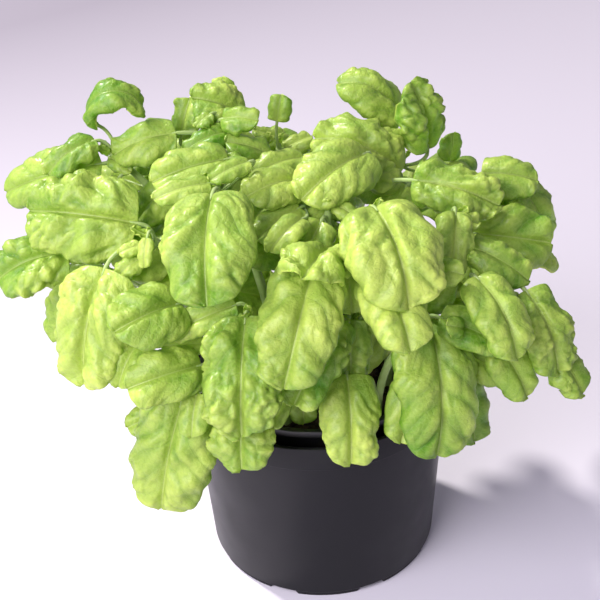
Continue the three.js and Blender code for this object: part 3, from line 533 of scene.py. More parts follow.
def sideVeins(leaf, grid, rng):
    # counts the side veins from the base, so that one lies wherever the count is whole
    v, s, beside, half = veinForm, grid["s"], grid["beside"], grid["half"]
    spacing = leaf["long"] / max(v["fewest"], round(leaf["long"] / v["apart"]))
    wave = np.sin(2 * np.pi * s / (v["wanderLong"] * spacing) + rng.uniform(0, anyPhase, 2)[half])
    wander = v["wander"] * wave * smoothStep(beside, 0, v["wanderFrom"])
    count = (s + wander - v["slope"] * beside - v["curve"] * beside ** 2) / spacing
    return count + rng.uniform(0, v["stagger"], 2)[half], spacing


def outlineTrim(leaf, grid, veins):
    # a fuller, rounder outline than the solid's, with round lobes and narrow notches along the rim
    o, share = outlineForm, grid["share"]
    along = np.clip(grid["s"] / leaf["long"], 1 - o["nearEnd"], o["nearEnd"])
    solidWide = np.sin(np.pi * along ** bladeForm["broadAt"]) ** bladeForm["bluntness"]
    blunt = o["roundness"] + (o["tipRoundness"] - o["roundness"]) * smoothStep(along, *o["tipBlend"])
    trim = o["full"] * np.sin(np.pi * along ** o["broadAt"]) ** blunt / solidWide
    tipEnd = np.sqrt(1 - np.clip((share - o["tipFrom"]) / (1 - o["tipFrom"]), 0, o["nearEnd"]) ** 2)
    ends = smoothStep(share, *o["lobesFrom"]) * smoothStep(1 - share, *o["lobesTo"])
    lobe = 1 - np.abs(np.sin(2 * np.pi * veins)) ** o["lobeRound"]
    depth = o["notch"] * (o["leastNotch"] + leaf["pucker"])
    return trim * tipEnd * (1 - depth * ends * lobe * grid["rimward"] ** o["notchPower"]), tipEnd, ends


def slowWaves(grid, rng):
    # a few long, shallow waves over the leaf, each in a direction of its own
    swell = 0
    for _ in range(relief["waves"]):
        heading, length = rng.uniform(0, np.pi), rng.uniform(*relief["waveLong"])
        phase = rng.uniform(0, anyPhase)
        along = grid["s"] * np.cos(heading) + grid["flat"] * np.sin(heading)
        swell = swell + np.sin(along * 2 * np.pi / length + phase) / relief["waveShare"]
    return swell


def finePatches(grid, rng):
    p = patchForm
    along = (grid["s"] + rng.uniform(0, p["shift"])) / p["long"] + p["halves"] * grid["half"]
    beside = p["bend"] * np.sin(grid["flat"] / p["wide"] + rng.uniform(0, anyPhase))
    return p["mean"] + p["vary"] * np.sin(along + beside)


def puckers(leaf, grid, veins, spacing, size, strength, rng):
    # the height of the flesh between its veins, and the slow waves that it rides on
    r, s, beside, rimward = relief, grid["s"], grid["beside"], grid["rimward"]
    rimFade = r["rimFade"] - r["rimFadePucker"] * leaf["pucker"]
    atRim = 1 - rimFade * smoothStep(rimward, r["rimFadeFrom"], 1)
    fromVein = np.abs(veins - np.round(veins)) * spacing / math.hypot(1, veinForm["slope"])
    panel = (1 - np.exp(-fromVein / r["creaseWide"])) * rng.uniform(*r["panelVary"], 2)[grid["half"]]
    scale = (r["cellScale"] + (1 - r["cellScale"]) * size) * rng.uniform(*r["cellVary"])
    swell = slowWaves(grid, rng)
    patch = finePatches(grid, rng)
    domes = lambda key, down: strength(key) * cellDomes(down, grid["flat"], r[key + "Cell"] * scale,
                                                        r[key + "Crease"], rng)
    crest = strength("panel") * panel + domes("bubble", veins * spacing)
    crest = crest * smoothStep(beside, *r["besideMidrib"])
    crest = crest + domes("blister", s) * smoothStep(beside, *r["blisterFrom"]) * patch
    crest = crest + domes("crinkle", s) * smoothStep(rimward, *r["crinkleFrom"]) * patch
    return crest * atRim, swell


def growBlade(pile, leaf, rng):
    r, grid = relief, bladeGrid(leaf)
    share, beside, rimward = grid["share"], grid["beside"], grid["rimward"]
    size = min(r["largest"], leaf["wide"] / r["fullAt"])
    strength = lambda key: size * (r[key] + r[key + "Pucker"] * leaf["pucker"] ** r["puckerCurve"])
    veins, spacing = sideVeins(leaf, grid, rng)
    trim, tipEnd, ends = outlineTrim(leaf, grid, veins)
    place = bladeSurface(leaf, share, grid["across"], trim)[0]
    crest, swell = puckers(leaf, grid, veins, spacing, size, strength, rng)

    full = sum(strength(key) for key in ("panel", "bubble", "blister", "crinkle"))
    fade = smoothStep(beside, *r["besideMidrib"])
    wave = 2 * np.pi * grid["s"] / rng.uniform(*r["frillLong"]) + rng.uniform(0, anyPhase, 2)[grid["half"]]
    frill = np.sin(wave) * rimward ** outlineForm["notchPower"] * ends
    loft = strength("inflate") * (1 - np.exp(-beside / r["inflateWide"])) * (1 - rimward ** 2)
    high = crest - r["settle"] * full * (r["midribShare"] + (1 - r["midribShare"]) * fade) + loft
    high = high + strength("swell") * swell * smoothStep(beside, 0, r["swellFrom"])
    high = high + strength("frill") * frill - r["rimRoll"] * size * rimward ** r["rollPower"]
    high = high * smoothStep(share, *r["rootFlat"]) * tipEnd
    groove = r["midribGroove"] * size * np.exp(-beside / r["grooveWide"]) * (1 - r["grooveFade"] * share)

    m = bladeMesh
    out = unit(np.cross(np.gradient(place, axis=0), np.gradient(place, axis=1)))
    thick = m["thick"] + (m["rimThick"] - m["thick"]) * smoothStep(rimward, m["thinFrom"], 1)
    rib = r["midribBelow"] * np.exp(-(beside / r["midribWide"]) ** 2) * (1 - r["midribFade"] * share)
    upper = place + out * (high + thick / 2 - groove)[..., None]
    lower = place + out * (high - thick / 2 - groove - rib)[..., None]

    spot = np.stack([grid["s"], grid["flat"]], axis=-1) / 10
    under = np.repeat((0, 1), beside.size)
    # the crest attribute: the relief's height, which paints dome tops paler as painted highlight and creases
    # darker as painted shade, the midrib paler in its own colour, and a thin painted highlight along the rim
    pale = np.maximum(crest / full + r["paleMidrib"] * (1 - fade) - r["paleLess"],
                      r["paintedRimHighlight"] * smoothStep(rimward, r["paintedRimHighlightFrom"], 1))
    pile.add(np.concatenate([upper.reshape(-1, 3), lower.reshape(-1, 3)]), slabQuads(*beside.shape), 0,
             np.tile(spot.reshape(-1, 2), (2, 1)), under=under, crest=np.tile(pale.ravel(), 2),
             tint=leaf["tint"], vein=np.tile(veins.ravel(), 2))


roundSection = lambda sides: np.stack([np.cos(np.arange(sides) * 2 * np.pi / sides),
                                       np.sin(np.arange(sides) * 2 * np.pi / sides)], axis=1)


def squareSection(sides, softness):
    # a square with rounded corners and slightly hollow faces, as a basil stem has
    angle = np.arange(sides) * 2 * np.pi / sides
    size = (np.abs(np.cos(angle)) ** softness + np.abs(np.sin(angle)) ** softness) ** (-1 / softness)
    return np.stack([np.cos(angle) * size, np.sin(angle) * size], axis=1)


stalkForm = dict(radius=1.0, sides=8, rings=9, knee=0.45, leadFrom=0.02, leadTo=0.1, leadRings=4, below=0.3,
                 leastSize=0.55, fullAt=70, ringPlaces=(0, 2, 8, 11), ringWidths=(1.15, 0.95, 1.0, 0.35))
fineStem = dict(sides=16, rings=26, softness=1.5, nodeSwell=0.35, nodeLong=0.02, straight=5, tipWide=0.55,
                inside=0.98)
budForm = dict(below=0.96, spread=0.2, sunk=1.2, apart=0.6, long=(3.5, 5.5), open=(2.5, 4.5), wide=(4.5, 6),
               bend=50, pucker=0.3, facedFrom=20, tint=0.6)


def growStalk(pile, leaf):
    # the leaf stalk leaves the stem, curves to the blade and thins out along the midrib's underside
    f = stalkForm
    side = np.cross(leaf["face"], leaf["along"])
    start = turnedAbout(leaf["along"], side, -leaf["turn"] / 2)
    root, base = leaf["root"], leaf["base"]
    knee = base - start * f["knee"] * np.linalg.norm(base - root)
    t = np.linspace(0, 1, f["rings"])[:, None]
    curve = (1 - t) ** 2 * root + 2 * t * (1 - t) * knee + t ** 2 * base
    lead = bladeSurface(leaf, np.linspace(f["leadFrom"], f["leadTo"], f["leadRings"]), 0.0)[0]
    path = np.concatenate([curve[:-1], lead - leaf["face"] * f["below"]])
    size = min(1.0, f["leastSize"] + leaf["wide"] / f["fullAt"])
    radii = f["radius"] * size * np.interp(np.arange(len(path)), f["ringPlaces"], f["ringWidths"])
    points = tubePoints(path, radii, roundSection(f["sides"]), side)
    pile.add(points, tubeQuads(len(path), f["sides"]), 1, tint=leaf["tint"])


def growStem(pile, stem):
    f = fineStem
    foot = np.array((*stem["foot"], stemForm["soilTop"] - stemForm["depthInSoil"]), float)
    share = np.linspace(0, 1, f["rings"])
    path = np.concatenate([foot[None], foot[None] + (0, 0, f["straight"]), stemPoint(stem, share)])
    radius = stemForm["footRadius"] + (stemForm["tipRadius"] - stemForm["footRadius"]) * share
    for node in pairForm["places"][1:]:
        radius = radius + f["nodeSwell"] * np.exp(-((share - node) / f["nodeLong"]) ** 2)
    radius[-1] *= f["tipWide"]
    radii = np.concatenate([[radius[0]] * 2, radius]) * f["inside"]
    outward = math.atan2(stem["foot"][1], stem["foot"][0])
    start = np.array((math.cos(outward), math.sin(outward), 0))
    section = squareSection(f["sides"], f["softness"])
    pile.add(tubePoints(path, radii, section, start), tubeQuads(len(path), f["sides"]), 1, tint=0)


def growBud(pile, stem, rng):
    # the shoot tip: two folded young leaves, half open
    f = budForm
    top, below = stemPoint(stem, 1.0), stemPoint(stem, f["below"])
    up = unit(top - below)
    turn = rng.uniform(0, np.pi)
    for side in (0, np.pi):
        away = unit(np.array((math.cos(turn + side), math.sin(turn + side), f["spread"])))
        base = top - up * f["sunk"] + away * f["apart"]
        tip = top + up * rng.uniform(*f["long"]) + away * rng.uniform(*f["open"])
        young = (*base, *tip, rng.uniform(*f["wide"]), f["bend"], 0, f["pucker"])
        leaf = leafFrame(young, top - away * f["facedFrom"])
        growBlade(pile, dict(leaf, tint=f["tint"]), rng)


# Materials

# the first two colours are the ends of the flesh mix: the leaf's own paler and darker tones, with painted
# highlight on the dome tops and rim and painted shade in the creases
leafLook = dict(paleAndPaintedLit="#E8F77A", darkAndPaintedShade="#559A00", vein="#E6F2A0", under="#A2C62E", glow="#CFE81E",
                roughTop=0.42, roughUnder=0.6, wax=0.5, waxRough=0.28, glowShare=0.45,
                sideVein=0.03, midrib=(0.01, 0.035), netCell=2.3, patch=56, grain=1.2,
                bump=0.7, bumpHigh=0.0009)
stemLook = dict(dark="#8FB04A", pale="#C5D893", streak=5.556, rough=0.45, down=0.15, glowShare=0.2)
outerPotLook = dict(colours=("#121215", "#161619"), grain=0.455, patch=22.2, rough=(0.36, 0.46), shine=0.26)
nurseryPotLook = dict(clean="#101012", dusty="#3A3129", patch=11.1, rough=0.38)
soilLook = dict(dark="#160E0A", pale="#4A3526", fibre=2.38, rough=0.92)
# the paper's far colour and side values paint the light's falloff to the back left, as painted shade
paperLook = dict(near="#DAD5E1", far="#9993A0", side=0.4, farLeft=1.3, farRight=0.5, rough=0.9)


def perMetre(size):
    # the scale of a pattern whose cells are this many millimetres
    return 1 / (size * mm)


def bladeMaterial():
    # fresh basil blade, thin and waxy above: light shows through it yellow-green, and the veins stay paler
    # than the puckered flesh between them.
    # The crest attribute paints the dome tops and a thin line along the rim paler, as painted highlight, and
    # the creases darker, as painted shade
    look = leafLook
    material, tree = newMaterial("fresh_basil_leaf")
    under, crest, tint, vein = [addNode(tree, "Attribute", {"attribute_name": name}, out="Fac")
                                for name in ("under", "crest", "tint", "vein")]
    # the blade's own map, in centimetres along and beside the midrib
    spot = addNode(tree, "UVMap", {"uv_map": "bladeMap"})
    beside = addNode(tree, "SeparateXYZ", out="Y", _0=spot)
    beside = addNode(tree, "Math", {"operation": "ABSOLUTE"}, _0=beside)
    fromVein = addNode(tree, "Math", {"operation": "PINGPONG"}, _0=vein, _1=0.5)
    sideVein = addNode(tree, "MapRange", {"interpolation_type": "SMOOTHSTEP"},
                       _0=fromVein, _1=0.0, _2=look["sideVein"], _3=0.4, _4=0.0)
    midrib = addNode(tree, "MapRange", {"interpolation_type": "SMOOTHSTEP"},
                     _0=beside, _1=look["midrib"][0], _2=look["midrib"][1], _3=0.7, _4=0.0)
    net = addNode(tree, "TexVoronoi", {"feature": "DISTANCE_TO_EDGE", "voronoi_dimensions": "2D"},
                  out="Distance", Vector=spot, Scale=10 / look["netCell"])
    netLine = addNode(tree, "MapRange", {"interpolation_type": "SMOOTHSTEP"},
                      _0=net, _1=0.0, _2=0.12, _3=0.25, _4=0.0)
    lines = addNode(tree, "Math", {"operation": "MAXIMUM"}, _0=sideVein, _1=netLine)
    lines = addNode(tree, "Math", {"operation": "MAXIMUM"}, _0=lines, _1=midrib)
    # pale and dark patches a few centimetres across, and the skin's fine grain, a little over a
    # millimetre across: twice as coarse as it is, so that it shows
    place = addNode(tree, "TexCoord", out="Object")
    mottle = addNode(tree, "TexNoise", out=0, Vector=place, Scale=perMetre(look["patch"]), Detail=3.0)
    mottle = addNode(tree, "MapRange", _0=mottle, _1=0.35, _2=0.65, _3=-0.3, _4=0.1)
    grain = addNode(tree, "TexNoise", out=0, Vector=spot, Scale=10 / look["grain"], Detail=4.0)
    mottle = addNode(tree, "Math", {"operation": "MULTIPLY_ADD"}, _0=grain, _1=0.4, _2=mottle)
    shade = addNode(tree, "Math", {"operation": "MULTIPLY_ADD"}, _0=tint, _1=0.25, _2=mottle)
    # painted highlight and shade: the crest attribute lightens the dome tops and the rim line, darkens the
    # creases between the domes, and lightens the midrib in its own colour
    shade = addNode(tree, "Math", {"operation": "MULTIPLY_ADD", "use_clamp": True},
                    _0=crest, _1=0.85, _2=shade)
    flesh = addNode(tree, "Mix", {"data_type": "RGBA"}, out=2, _0=shade, _6=linear(look["darkAndPaintedShade"]),
                    _7=linear(look["paleAndPaintedLit"]))
    paleShare = addNode(tree, "Math", {"operation": "MULTIPLY"}, _0=under, _1=0.6)
    flesh = addNode(tree, "Mix", {"data_type": "RGBA"}, out=2, _0=paleShare, _6=flesh,
                    _7=linear(look["under"]))
    veinShare = addNode(tree, "Math", {"operation": "MULTIPLY"}, _0=lines, _1=0.5)
    colour = addNode(tree, "Mix", {"data_type": "RGBA"}, out=2, _0=veinShare, _6=flesh,
                     _7=linear(look["vein"]))
    roughness = addNode(tree, "MapRange", _0=under, _1=0.0, _2=1.0,
                        _3=look["roughTop"], _4=look["roughUnder"])
    # veins sink in above and stand out underneath; between them the skin is finely grained
    sink = addNode(tree, "MapRange", _0=under, _1=0.0, _2=1.0, _3=-0.6, _4=1.0)
    height = addNode(tree, "Math", {"operation": "MULTIPLY_ADD"}, _0=lines, _1=sink, _2=grain)
    normal = addNode(tree, "Bump", out="Normal", Height=height, Strength=look["bump"],
                     Distance=look["bumpHigh"])
    skin = addNode(tree, "BsdfPrincipled", Base_Color=colour, Roughness=roughness, Normal=normal, IOR=1.42,
                   Coat_Weight=look["wax"], Coat_Roughness=look["waxRough"])
    glow = addNode(tree, "Mix", {"data_type": "RGBA", "blend_type": "MULTIPLY"}, out=2, _0=0.5,
                   _6=linear(look["glow"]), _7=colour)
    through = addNode(tree, "BsdfTranslucent", Color=glow)
    shader = addNode(tree, "MixShader", _0=look["glowShare"], _1=skin, _2=through)
    addNode(tree, "OutputMaterial", Surface=shader)
    return material


def stemMaterial():
    # young basil stem: juicy, pale green and faintly downy, with paler streaks
    look = stemLook
    material, tree = newMaterial("green_basil_stem")
    place = addNode(tree, "TexCoord", out="Object")
    streak = addNode(tree, "TexNoise", out=0, Vector=place, Scale=perMetre(look["streak"]), Detail=2.0)
    colour = addNode(tree, "Mix", {"data_type": "RGBA"}, out=2, _0=streak, _6=linear(look["dark"]),
                     _7=linear(look["pale"]))
    skin = addNode(tree, "BsdfPrincipled", Base_Color=colour, Roughness=look["rough"], IOR=1.42,
                   Sheen_Weight=look["down"], Sheen_Roughness=0.5)
    through = addNode(tree, "BsdfTranslucent", Color=colour)
    shader = addNode(tree, "MixShader", _0=look["glowShare"], _1=skin, _2=through)
    addNode(tree, "OutputMaterial", Surface=shader)
    return material


def outerPotMaterial():
    # anthracite polypropylene, injection-moulded in a lightly eroded mould: satin, with a fine even grain
    look = outerPotLook
    material, tree = newMaterial("moulded_anthracite_polypropylene")
    place = addNode(tree, "TexCoord", out="Object")
    grain = addNode(tree, "TexNoise", out=0, Vector=place, Scale=perMetre(look["grain"]), Detail=3.0)
    patch = addNode(tree, "TexNoise", out=0, Vector=place, Scale=perMetre(look["patch"]), Detail=5.0)
    roughness = addNode(tree, "MapRange", _0=patch, _1=0.3, _2=0.7, _3=look["rough"][0], _4=look["rough"][1])
    colour = addNode(tree, "Mix", {"data_type": "RGBA"}, out=2, _0=patch, _6=linear(look["colours"][0]),
                     _7=linear(look["colours"][1]))
    normal = addNode(tree, "Bump", out="Normal", Height=grain, Strength=0.12, Distance=0.0001)
    skin = addNode(tree, "BsdfPrincipled", Base_Color=colour, Roughness=roughness, Normal=normal, IOR=1.49,
                   Specular_IOR_Level=look["shine"])
    addNode(tree, "OutputMaterial", Surface=skin)
    return material


def nurseryPotMaterial():
    # black thermoformed polystyrene: thin and smooth, dusty from the potting bench
    look = nurseryPotLook
    material, tree = newMaterial("thermoformed_black_polystyrene")
    place = addNode(tree, "TexCoord", out="Object")
    dust = addNode(tree, "TexNoise", out=0, Vector=place, Scale=perMetre(look["patch"]), Detail=6.0)
    dust = addNode(tree, "MapRange", _0=dust, _1=0.5, _2=0.75, _3=0.0, _4=0.25)
    colour = addNode(tree, "Mix", {"data_type": "RGBA"}, out=2, _0=dust, _6=linear(look["clean"]),
                     _7=linear(look["dusty"]))
    skin = addNode(tree, "BsdfPrincipled", Base_Color=colour, Roughness=look["rough"], IOR=1.57)
    addNode(tree, "OutputMaterial", Surface=skin)
    return material


def soilMaterial():
    # moist peat and fine bark: nearly black, dull, with paler fibres
    look = soilLook
    material, tree = newMaterial("moist_peat_compost")
    place = addNode(tree, "TexCoord", out="Object")
    fibre = addNode(tree, "TexNoise", out=0, Vector=place, Scale=perMetre(look["fibre"]), Detail=8.0,
                    Roughness=0.7)
    fibre = addNode(tree, "MapRange", _0=fibre, _1=0.4, _2=0.7, _3=0.0, _4=1.0)
    colour = addNode(tree, "Mix", {"data_type": "RGBA"}, out=2, _0=fibre, _6=linear(look["dark"]),
                     _7=linear(look["pale"]))
    normal = addNode(tree, "Bump", out="Normal", Height=fibre, Strength=0.7, Distance=0.0006)
    skin = addNode(tree, "BsdfPrincipled", Base_Color=colour, Roughness=look["rough"], Normal=normal, IOR=1.4)
    addNode(tree, "OutputMaterial", Surface=skin)
    return material


def backdropMaterial():
    # seamless photo paper, matt and nearly white with a lilac cast, falling off to grey at the back left: a
    # painted shade that stands in for the light's falloff
    look = paperLook
    material, tree = newMaterial("lilac_white_photo_paper")
    place = addNode(tree, "TexCoord", out="Object")
    back = addNode(tree, "SeparateXYZ", out="Y", _0=place)
    aside = addNode(tree, "SeparateXYZ", out="X", _0=place)
    aside = addNode(tree, "MapRange", _0=aside, _1=-look["side"], _2=look["side"], _3=look["farLeft"],
                    _4=look["farRight"])
    # painted shade: darker towards the back, more so on the left
    back = addNode(tree, "Math", {"operation": "MULTIPLY", "use_clamp": True}, _0=back, _1=aside)
    colour = addNode(tree, "Mix", {"data_type": "RGBA"}, out=2, _0=back, _6=linear(look["near"]),
                     _7=linear(look["far"]))
    skin = addNode(tree, "BsdfPrincipled", Base_Color=colour, Roughness=look["rough"], IOR=1.45)
    addNode(tree, "OutputMaterial", Surface=skin)
    return material


# Growing the stems: one piece for each leafy stem, with its leaves, stalks and shoot tip

leafBlade, basilStem = bladeMaterial(), stemMaterial()
leafCount = 0
for number, stem in enumerate(stems):
    rng = np.random.default_rng(relief["seed"] + number)
    pile = Pile()
    growStem(pile, stem)
    growBud(pile, stem, rng)
    for leaf in placedLeaves(number):
        leaf["tint"] = rng.uniform()
        growStalk(pile, leaf)
        growBlade(pile, leaf, rng)
        leafCount += 1
    plantPiece = pile.make(f"basil_stem_{number + 1:02d}", [leafBlade, basilStem])
    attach(plantPiece, "root")
    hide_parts(f"leafy_stem_{number + 1:02d}")
print("leafy stems grown, with", leafCount, "leaves")


# Pots: lathe-turned walls with rounded edges

outerForm = dict(rim=65, high=99.5, bandHigh=12.2, proud=1.1, step=0.6, lip=2.2, wall=1.6, floor=3.2,
                 base=58.4, innerBase=0.5, innerBand=1.5, footRing=57.6, footHigh=2.4,
                 hub=24, groove=50, grooveDeep=1.5, slope=1, feet=8, notchWide=15.6, notchEase=1.2,
                 drains=6, drainRadius=3.4, drainRing=37, sides=192)
nurseryForm = dict(rim=59, lip=1.6, lipHigh=4, foot=1.5, top=105, base=49, wall=1.2, floor=1.6, gap=0.3,
                   drains=6, drainRadius=4, drainRing=30, sides=144)
soilForm = dict(top=98, uneven=1.3, grit=0.9, clear=0.6, middle=0.0005, rings=40, sides=120, wallRings=4,
                hills=((19, 0.7), (8, 0.5), (3.5, 0.45)), hillsEach=3, rough=0.35,
                crumbs=420, crumbSize=(0.4, 1.3), crumbShape=(0.5, 0.95), crumbInside=2, crumbUp=0.3, seed=11)
drillForm = dict(sides=24, below=2, sharpAngle=35)


def eased(corners):
    # each corner (radius, height, rounding) becomes a short arc
    profile = []
    spots = [np.array(c[:2], float) for c in corners]
    for i, (_, _, easing) in enumerate(corners):
        if easing == 0 or i in (0, len(corners) - 1):
            profile.append(spots[i])
            continue
        start = spots[i] + unit(spots[i - 1] - spots[i]) * easing
        end = spots[i] + unit(spots[i + 1] - spots[i]) * easing
        for t in (0, 0.25, 0.5, 0.75, 1):
            profile.append((1 - t) ** 2 * start + 2 * t * (1 - t) * spots[i] + t * t * end)
    return np.array(profile)


def turnedPiece(name, profile, sides, material, raised=None):
    # profile runs from the axis underneath, round the outside, to the axis inside
    around = np.arange(sides) * 2 * np.pi / sides
    r, z = profile[1:-1, 0], profile[1:-1, 1]
    ring = np.stack([r[:, None] * np.cos(around), r[:, None] * np.sin(around),
                     z[:, None] + 0 * around], axis=-1)
    if raised:
        ring[..., 2] = raised(ring)
    points = ring.reshape(-1, 3)
    poles = np.array([[0, 0, profile[0, 1]], [0, 0, profile[-1, 1]]])
    k, last = len(points), (len(r) - 1) * sides
    faces = []
    for i in range(sides):
        j = (i + 1) % sides
        faces.append((k, j, i))
        faces += [(row * sides + i, row * sides + j, (row + 1) * sides + j, (row + 1) * sides + i)
                  for row in range(len(r) - 1)]
        faces.append((last + i, last + j, k + 1))
    mesh = bpy.data.meshes.new(name)
    mesh.from_pydata((np.concatenate([points, poles]) * mm).tolist(), [], faces)
    mesh.materials.append(material)
    piece = bpy.data.objects.new(name, mesh)
    bpy.context.collection.objects.link(piece)
    return piece


def drilled(piece, count, ring, radius, turn, depth):
    # round drain holes through the floor
    n = drillForm["sides"]
    around = np.arange(n) * 2 * np.pi / n
    points, faces = [], []
    for k in range(count):
        angle = 2 * np.pi * (k + turn) / count
        x, y = ring * math.cos(angle), ring * math.sin(angle)
        first = len(points)
        points += [(x + radius * math.cos(a), y + radius * math.sin(a), z)
                   for z in (-drillForm["below"], depth) for a in around]
        faces += [[first + i, first + (i + 1) % n, first + n + (i + 1) % n, first + n + i] for i in range(n)]
        faces += [[first + i for i in range(n - 1, -1, -1)], [first + n + i for i in range(n)]]
    mesh = bpy.data.meshes.new("drains")
    mesh.from_pydata((np.array(points) * mm).tolist(), [], faces)
    cutter = bpy.data.objects.new("drains", mesh)
    bpy.context.collection.objects.link(cutter)
    cut = piece.modifiers.new("drains", "BOOLEAN")
    cut.object, cut.operation, cut.solver = cutter, "DIFFERENCE", "EXACT"
    bpy.context.view_layer.update()
    held = piece.evaluated_get(bpy.context.evaluated_depsgraph_get())
    piece.modifiers.clear()
    done = bpy.data.meshes.new_from_object(held)
    piece.data = done
    bpy.data.objects.remove(cutter)
    done.polygons.foreach_set("use_smooth", np.ones(len(done.polygons), bool))
    done.set_sharp_from_angle(angle=math.radians(drillForm["sharpAngle"]))


def footNotches(ring):
    # between its eight feet the pot's edge stands a little clear of the table
    f = outerForm
    angle = np.arctan2(ring[..., 1], ring[..., 0]) * f["feet"] / (2 * np.pi)
    away = np.abs(angle % 1 - 0.5) * 2 * np.pi / f["feet"] * f["base"]
    rise = f["footHigh"] * (1 - smoothStep(away, f["notchWide"] / 2 - f["notchEase"], f["notchWide"] / 2))
    outside = np.hypot(ring[..., 0], ring[..., 1]) > f["groove"] + f["slope"] / 2
    return np.where(outside, np.maximum(ring[..., 2], rise), ring[..., 2])


def growOuterPot():
    f = outerForm
    bodyTop, bandLow = f["rim"] - f["proud"], f["high"] - f["bandHigh"]
    profile = eased([(0, 0, 0), (f["hub"], 0, 0.4), (f["hub"] + f["slope"], f["grooveDeep"], 0.4),
                     (f["groove"], f["grooveDeep"], 0.4), (f["groove"] + f["slope"], 0, 0.4),
                     (f["footRing"], 0, 0.3), (f["footRing"], f["footHigh"], 0.1),
                     (f["base"], f["footHigh"], 0.7), (bodyTop, bandLow - f["step"], 0.15),
                     (f["rim"], bandLow, 0.2), (f["rim"], f["high"], 0.7),
                     (f["rim"] - f["lip"], f["high"], 0.6),
                     (bodyTop - f["wall"], bandLow - f["innerBand"], 0.5),
                     (f["base"] - f["wall"] - f["innerBase"], f["floor"], 2), (0, f["floor"], 0)])
    piece = turnedPiece("anthracite_outer_pot", profile, f["sides"], outerPotMaterial(), footNotches)
    drilled(piece, f["drains"], f["drainRing"], f["drainRadius"], 0, f["floor"] + 2)
    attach(piece, "root")
    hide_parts("outer_pot")


def nurseryInside(z):
    f, base = nurseryForm, outerForm["floor"] + nurseryForm["gap"]
    return f["base"] + (f["rim"] - f["lip"] - f["base"]) * (z - base) / (f["top"] - base) - f["wall"]


def growNurseryPot():
    f = nurseryForm
    base, lipLow = outerForm["floor"] + f["gap"], f["top"] - f["lipHigh"]
    profile = eased([(0, base, 0), (f["base"] - 0.2, base, f["foot"]),
                     (nurseryInside(lipLow) + f["wall"], lipLow, 0.3),
                     (f["rim"], lipLow + 0.4, 0.5), (f["rim"], f["top"], 0.6),
                     (f["rim"] - f["lip"] - f["wall"], f["top"], 0.5),
                     (nurseryInside(base + f["floor"]), base + f["floor"], 1), (0, base + f["floor"], 0)])
    piece = turnedPiece("black_nursery_pot", profile, f["sides"], nurseryPotMaterial())
    drilled(piece, f["drains"], f["drainRing"], f["drainRadius"], 0.5, base + f["floor"] + 1)
    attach(piece, "root")
    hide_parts("nursery_pot")


def growSoil():
    # a crumbly top in the pot, and loose crumbs pressed into it
    f = soilForm
    rng = np.random.default_rng(f["seed"])
    edge, low = f["top"] - f["uneven"], outerForm["floor"] + 2 * nurseryForm["gap"] + nurseryForm["floor"]
    wide, narrow = nurseryInside(f["top"]) - f["clear"], nurseryInside(low) - f["clear"]
    around = np.arange(f["sides"]) * 2 * np.pi / f["sides"]
    radii = wide * np.sqrt(np.linspace(f["middle"], 1, f["rings"]))[:, None]
    x, y = radii * np.cos(around), radii * np.sin(around)
    z = np.full(x.shape, edge)
    for size, high in f["hills"]:
        for _ in range(f["hillsEach"]):
            heading, phase = rng.uniform(0, np.pi), rng.uniform(0, anyPhase)
            along = x * np.cos(heading) + y * np.sin(heading)
            z += high * f["grit"] / 2 * np.sin(along * 2 * np.pi / size + phase)
    z += rng.uniform(-f["rough"], f["rough"], z.shape) * f["grit"]
    z[-1] = edge
    wallRadii = np.linspace(wide, narrow, f["wallRings"])[:, None]
    wall = np.stack([wallRadii * np.cos(around), wallRadii * np.sin(around),
                     np.linspace(edge, low, f["wallRings"])[:, None] + 0 * around], axis=-1)
    rings = np.concatenate([np.stack([x, y, z], axis=-1), wall[1:]])
    pile = Pile()
    pile.add(rings[::-1], tubeQuads(len(rings), f["sides"]))
    cube = np.array([(a, b, c) for c in (-1, 1) for a, b in ((-1, -1), (1, -1), (1, 1), (-1, 1))], float)
    cubeQuads = np.array([(3, 2, 1, 0), (4, 5, 6, 7), (0, 1, 5, 4), (1, 2, 6, 5), (2, 3, 7, 6), (3, 0, 4, 7)])
    for _ in range(f["crumbs"]):
        away, angle = (wide - f["crumbInside"]) * math.sqrt(rng.uniform()), rng.uniform(0, anyPhase)
        size = rng.uniform(*f["crumbSize"])
        crumb = cube * size * rng.uniform(*f["crumbShape"], (8, 3))
        spot = (away * math.cos(angle), away * math.sin(angle), edge + size * f["crumbUp"])
        pile.add(crumb + spot, cubeQuads)
    piece = pile.make("moist_peat", [soilMaterial()])
    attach(piece, "root")
    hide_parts("soil")


growOuterPot()
growNurseryPot()
growSoil()
print("pots and soil made")


# Stage: paper backdrop, lights and camera

stageForm = dict(size=6.0, keyPlace=(-1.55, 1.3, 2.3), keySize=0.3, keyPower=105, keyColour="#FFFBF4",
                 fillPlace=(-0.5, -0.6, 0.65), fillSize=0.8, fillPower=13, fillColour="#FAF6FC",
                 worldColour="#E4DEF2", worldStrength=0.46, aim=(0, 0, 0.12))
cameraForm = dict(lens=74.46, sensor=36, elevation=32.0, roll=-2.57, away=0.6, target=(-0.0074, 0, 0.14))


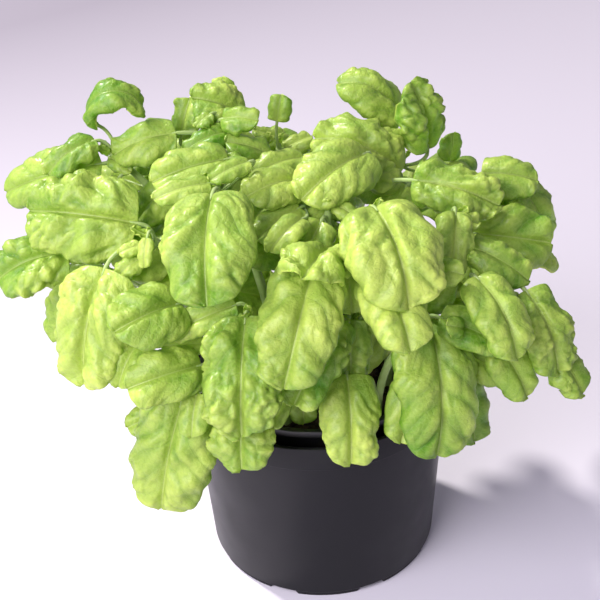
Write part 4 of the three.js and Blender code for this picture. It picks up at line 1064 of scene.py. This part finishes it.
def areaLight(name, place, size, power, colour):
    light = bpy.data.lights.new(name, "AREA")
    light.shape, light.size, light.energy, light.color = "DISK", size, power, linear(colour)[:3]
    lamp = bpy.data.objects.new(name, light)
    lamp.location = place
    lamp.rotation_euler = (Vector(stageForm["aim"]) - Vector(place)).to_track_quat("-Z", "Y").to_euler()
    bpy.context.collection.objects.link(lamp)


def setStage():
    half = stageForm["size"] / 2
    mesh = bpy.data.meshes.new("paper_backdrop")
    corners = [(-half, -half, 0), (half, -half, 0), (half, half, 0), (-half, half, 0)]
    mesh.from_pydata(corners, [], [(0, 1, 2, 3)])
    mesh.materials.append(backdropMaterial())
    floor = bpy.data.objects.new("paper_backdrop", mesh)
    bpy.context.collection.objects.link(floor)
    areaLight("window_light", stageForm["keyPlace"], stageForm["keySize"], stageForm["keyPower"],
              stageForm["keyColour"])
    areaLight("soft_fill", stageForm["fillPlace"], stageForm["fillSize"], stageForm["fillPower"],
              stageForm["fillColour"])
    world = bpy.data.worlds.new("lilac_room")
    bpy.context.scene.world = world
    world.use_nodes = True
    background = world.node_tree.nodes["Background"]
    background.inputs["Color"].default_value = linear(stageForm["worldColour"])
    background.inputs["Strength"].default_value = stageForm["worldStrength"]


def setCamera():
    tilt, roll = math.radians(cameraForm["elevation"]), math.radians(cameraForm["roll"])
    right, up = Vector((1, 0, 0)), Vector((0, math.sin(tilt), math.cos(tilt)))
    forward = Vector((0, math.cos(tilt), -math.sin(tilt)))
    x, y = right * math.cos(roll) + up * math.sin(roll), up * math.cos(roll) - right * math.sin(roll)
    lens = bpy.data.cameras.new("photo_camera")
    lens.lens, lens.sensor_width = cameraForm["lens"], cameraForm["sensor"]
    camera = bpy.data.objects.new("photo_camera", lens)
    place = Vector(cameraForm["target"]) - forward * cameraForm["away"]
    camera.matrix_world = Matrix.Translation(place) @ Matrix((x, y, -forward)).transposed().to_4x4()
    bpy.context.collection.objects.link(camera)
    bpy.context.scene.camera = camera


setStage()
setCamera()
bpy.context.scene.view_settings.view_transform = "Standard"
print("stage set")
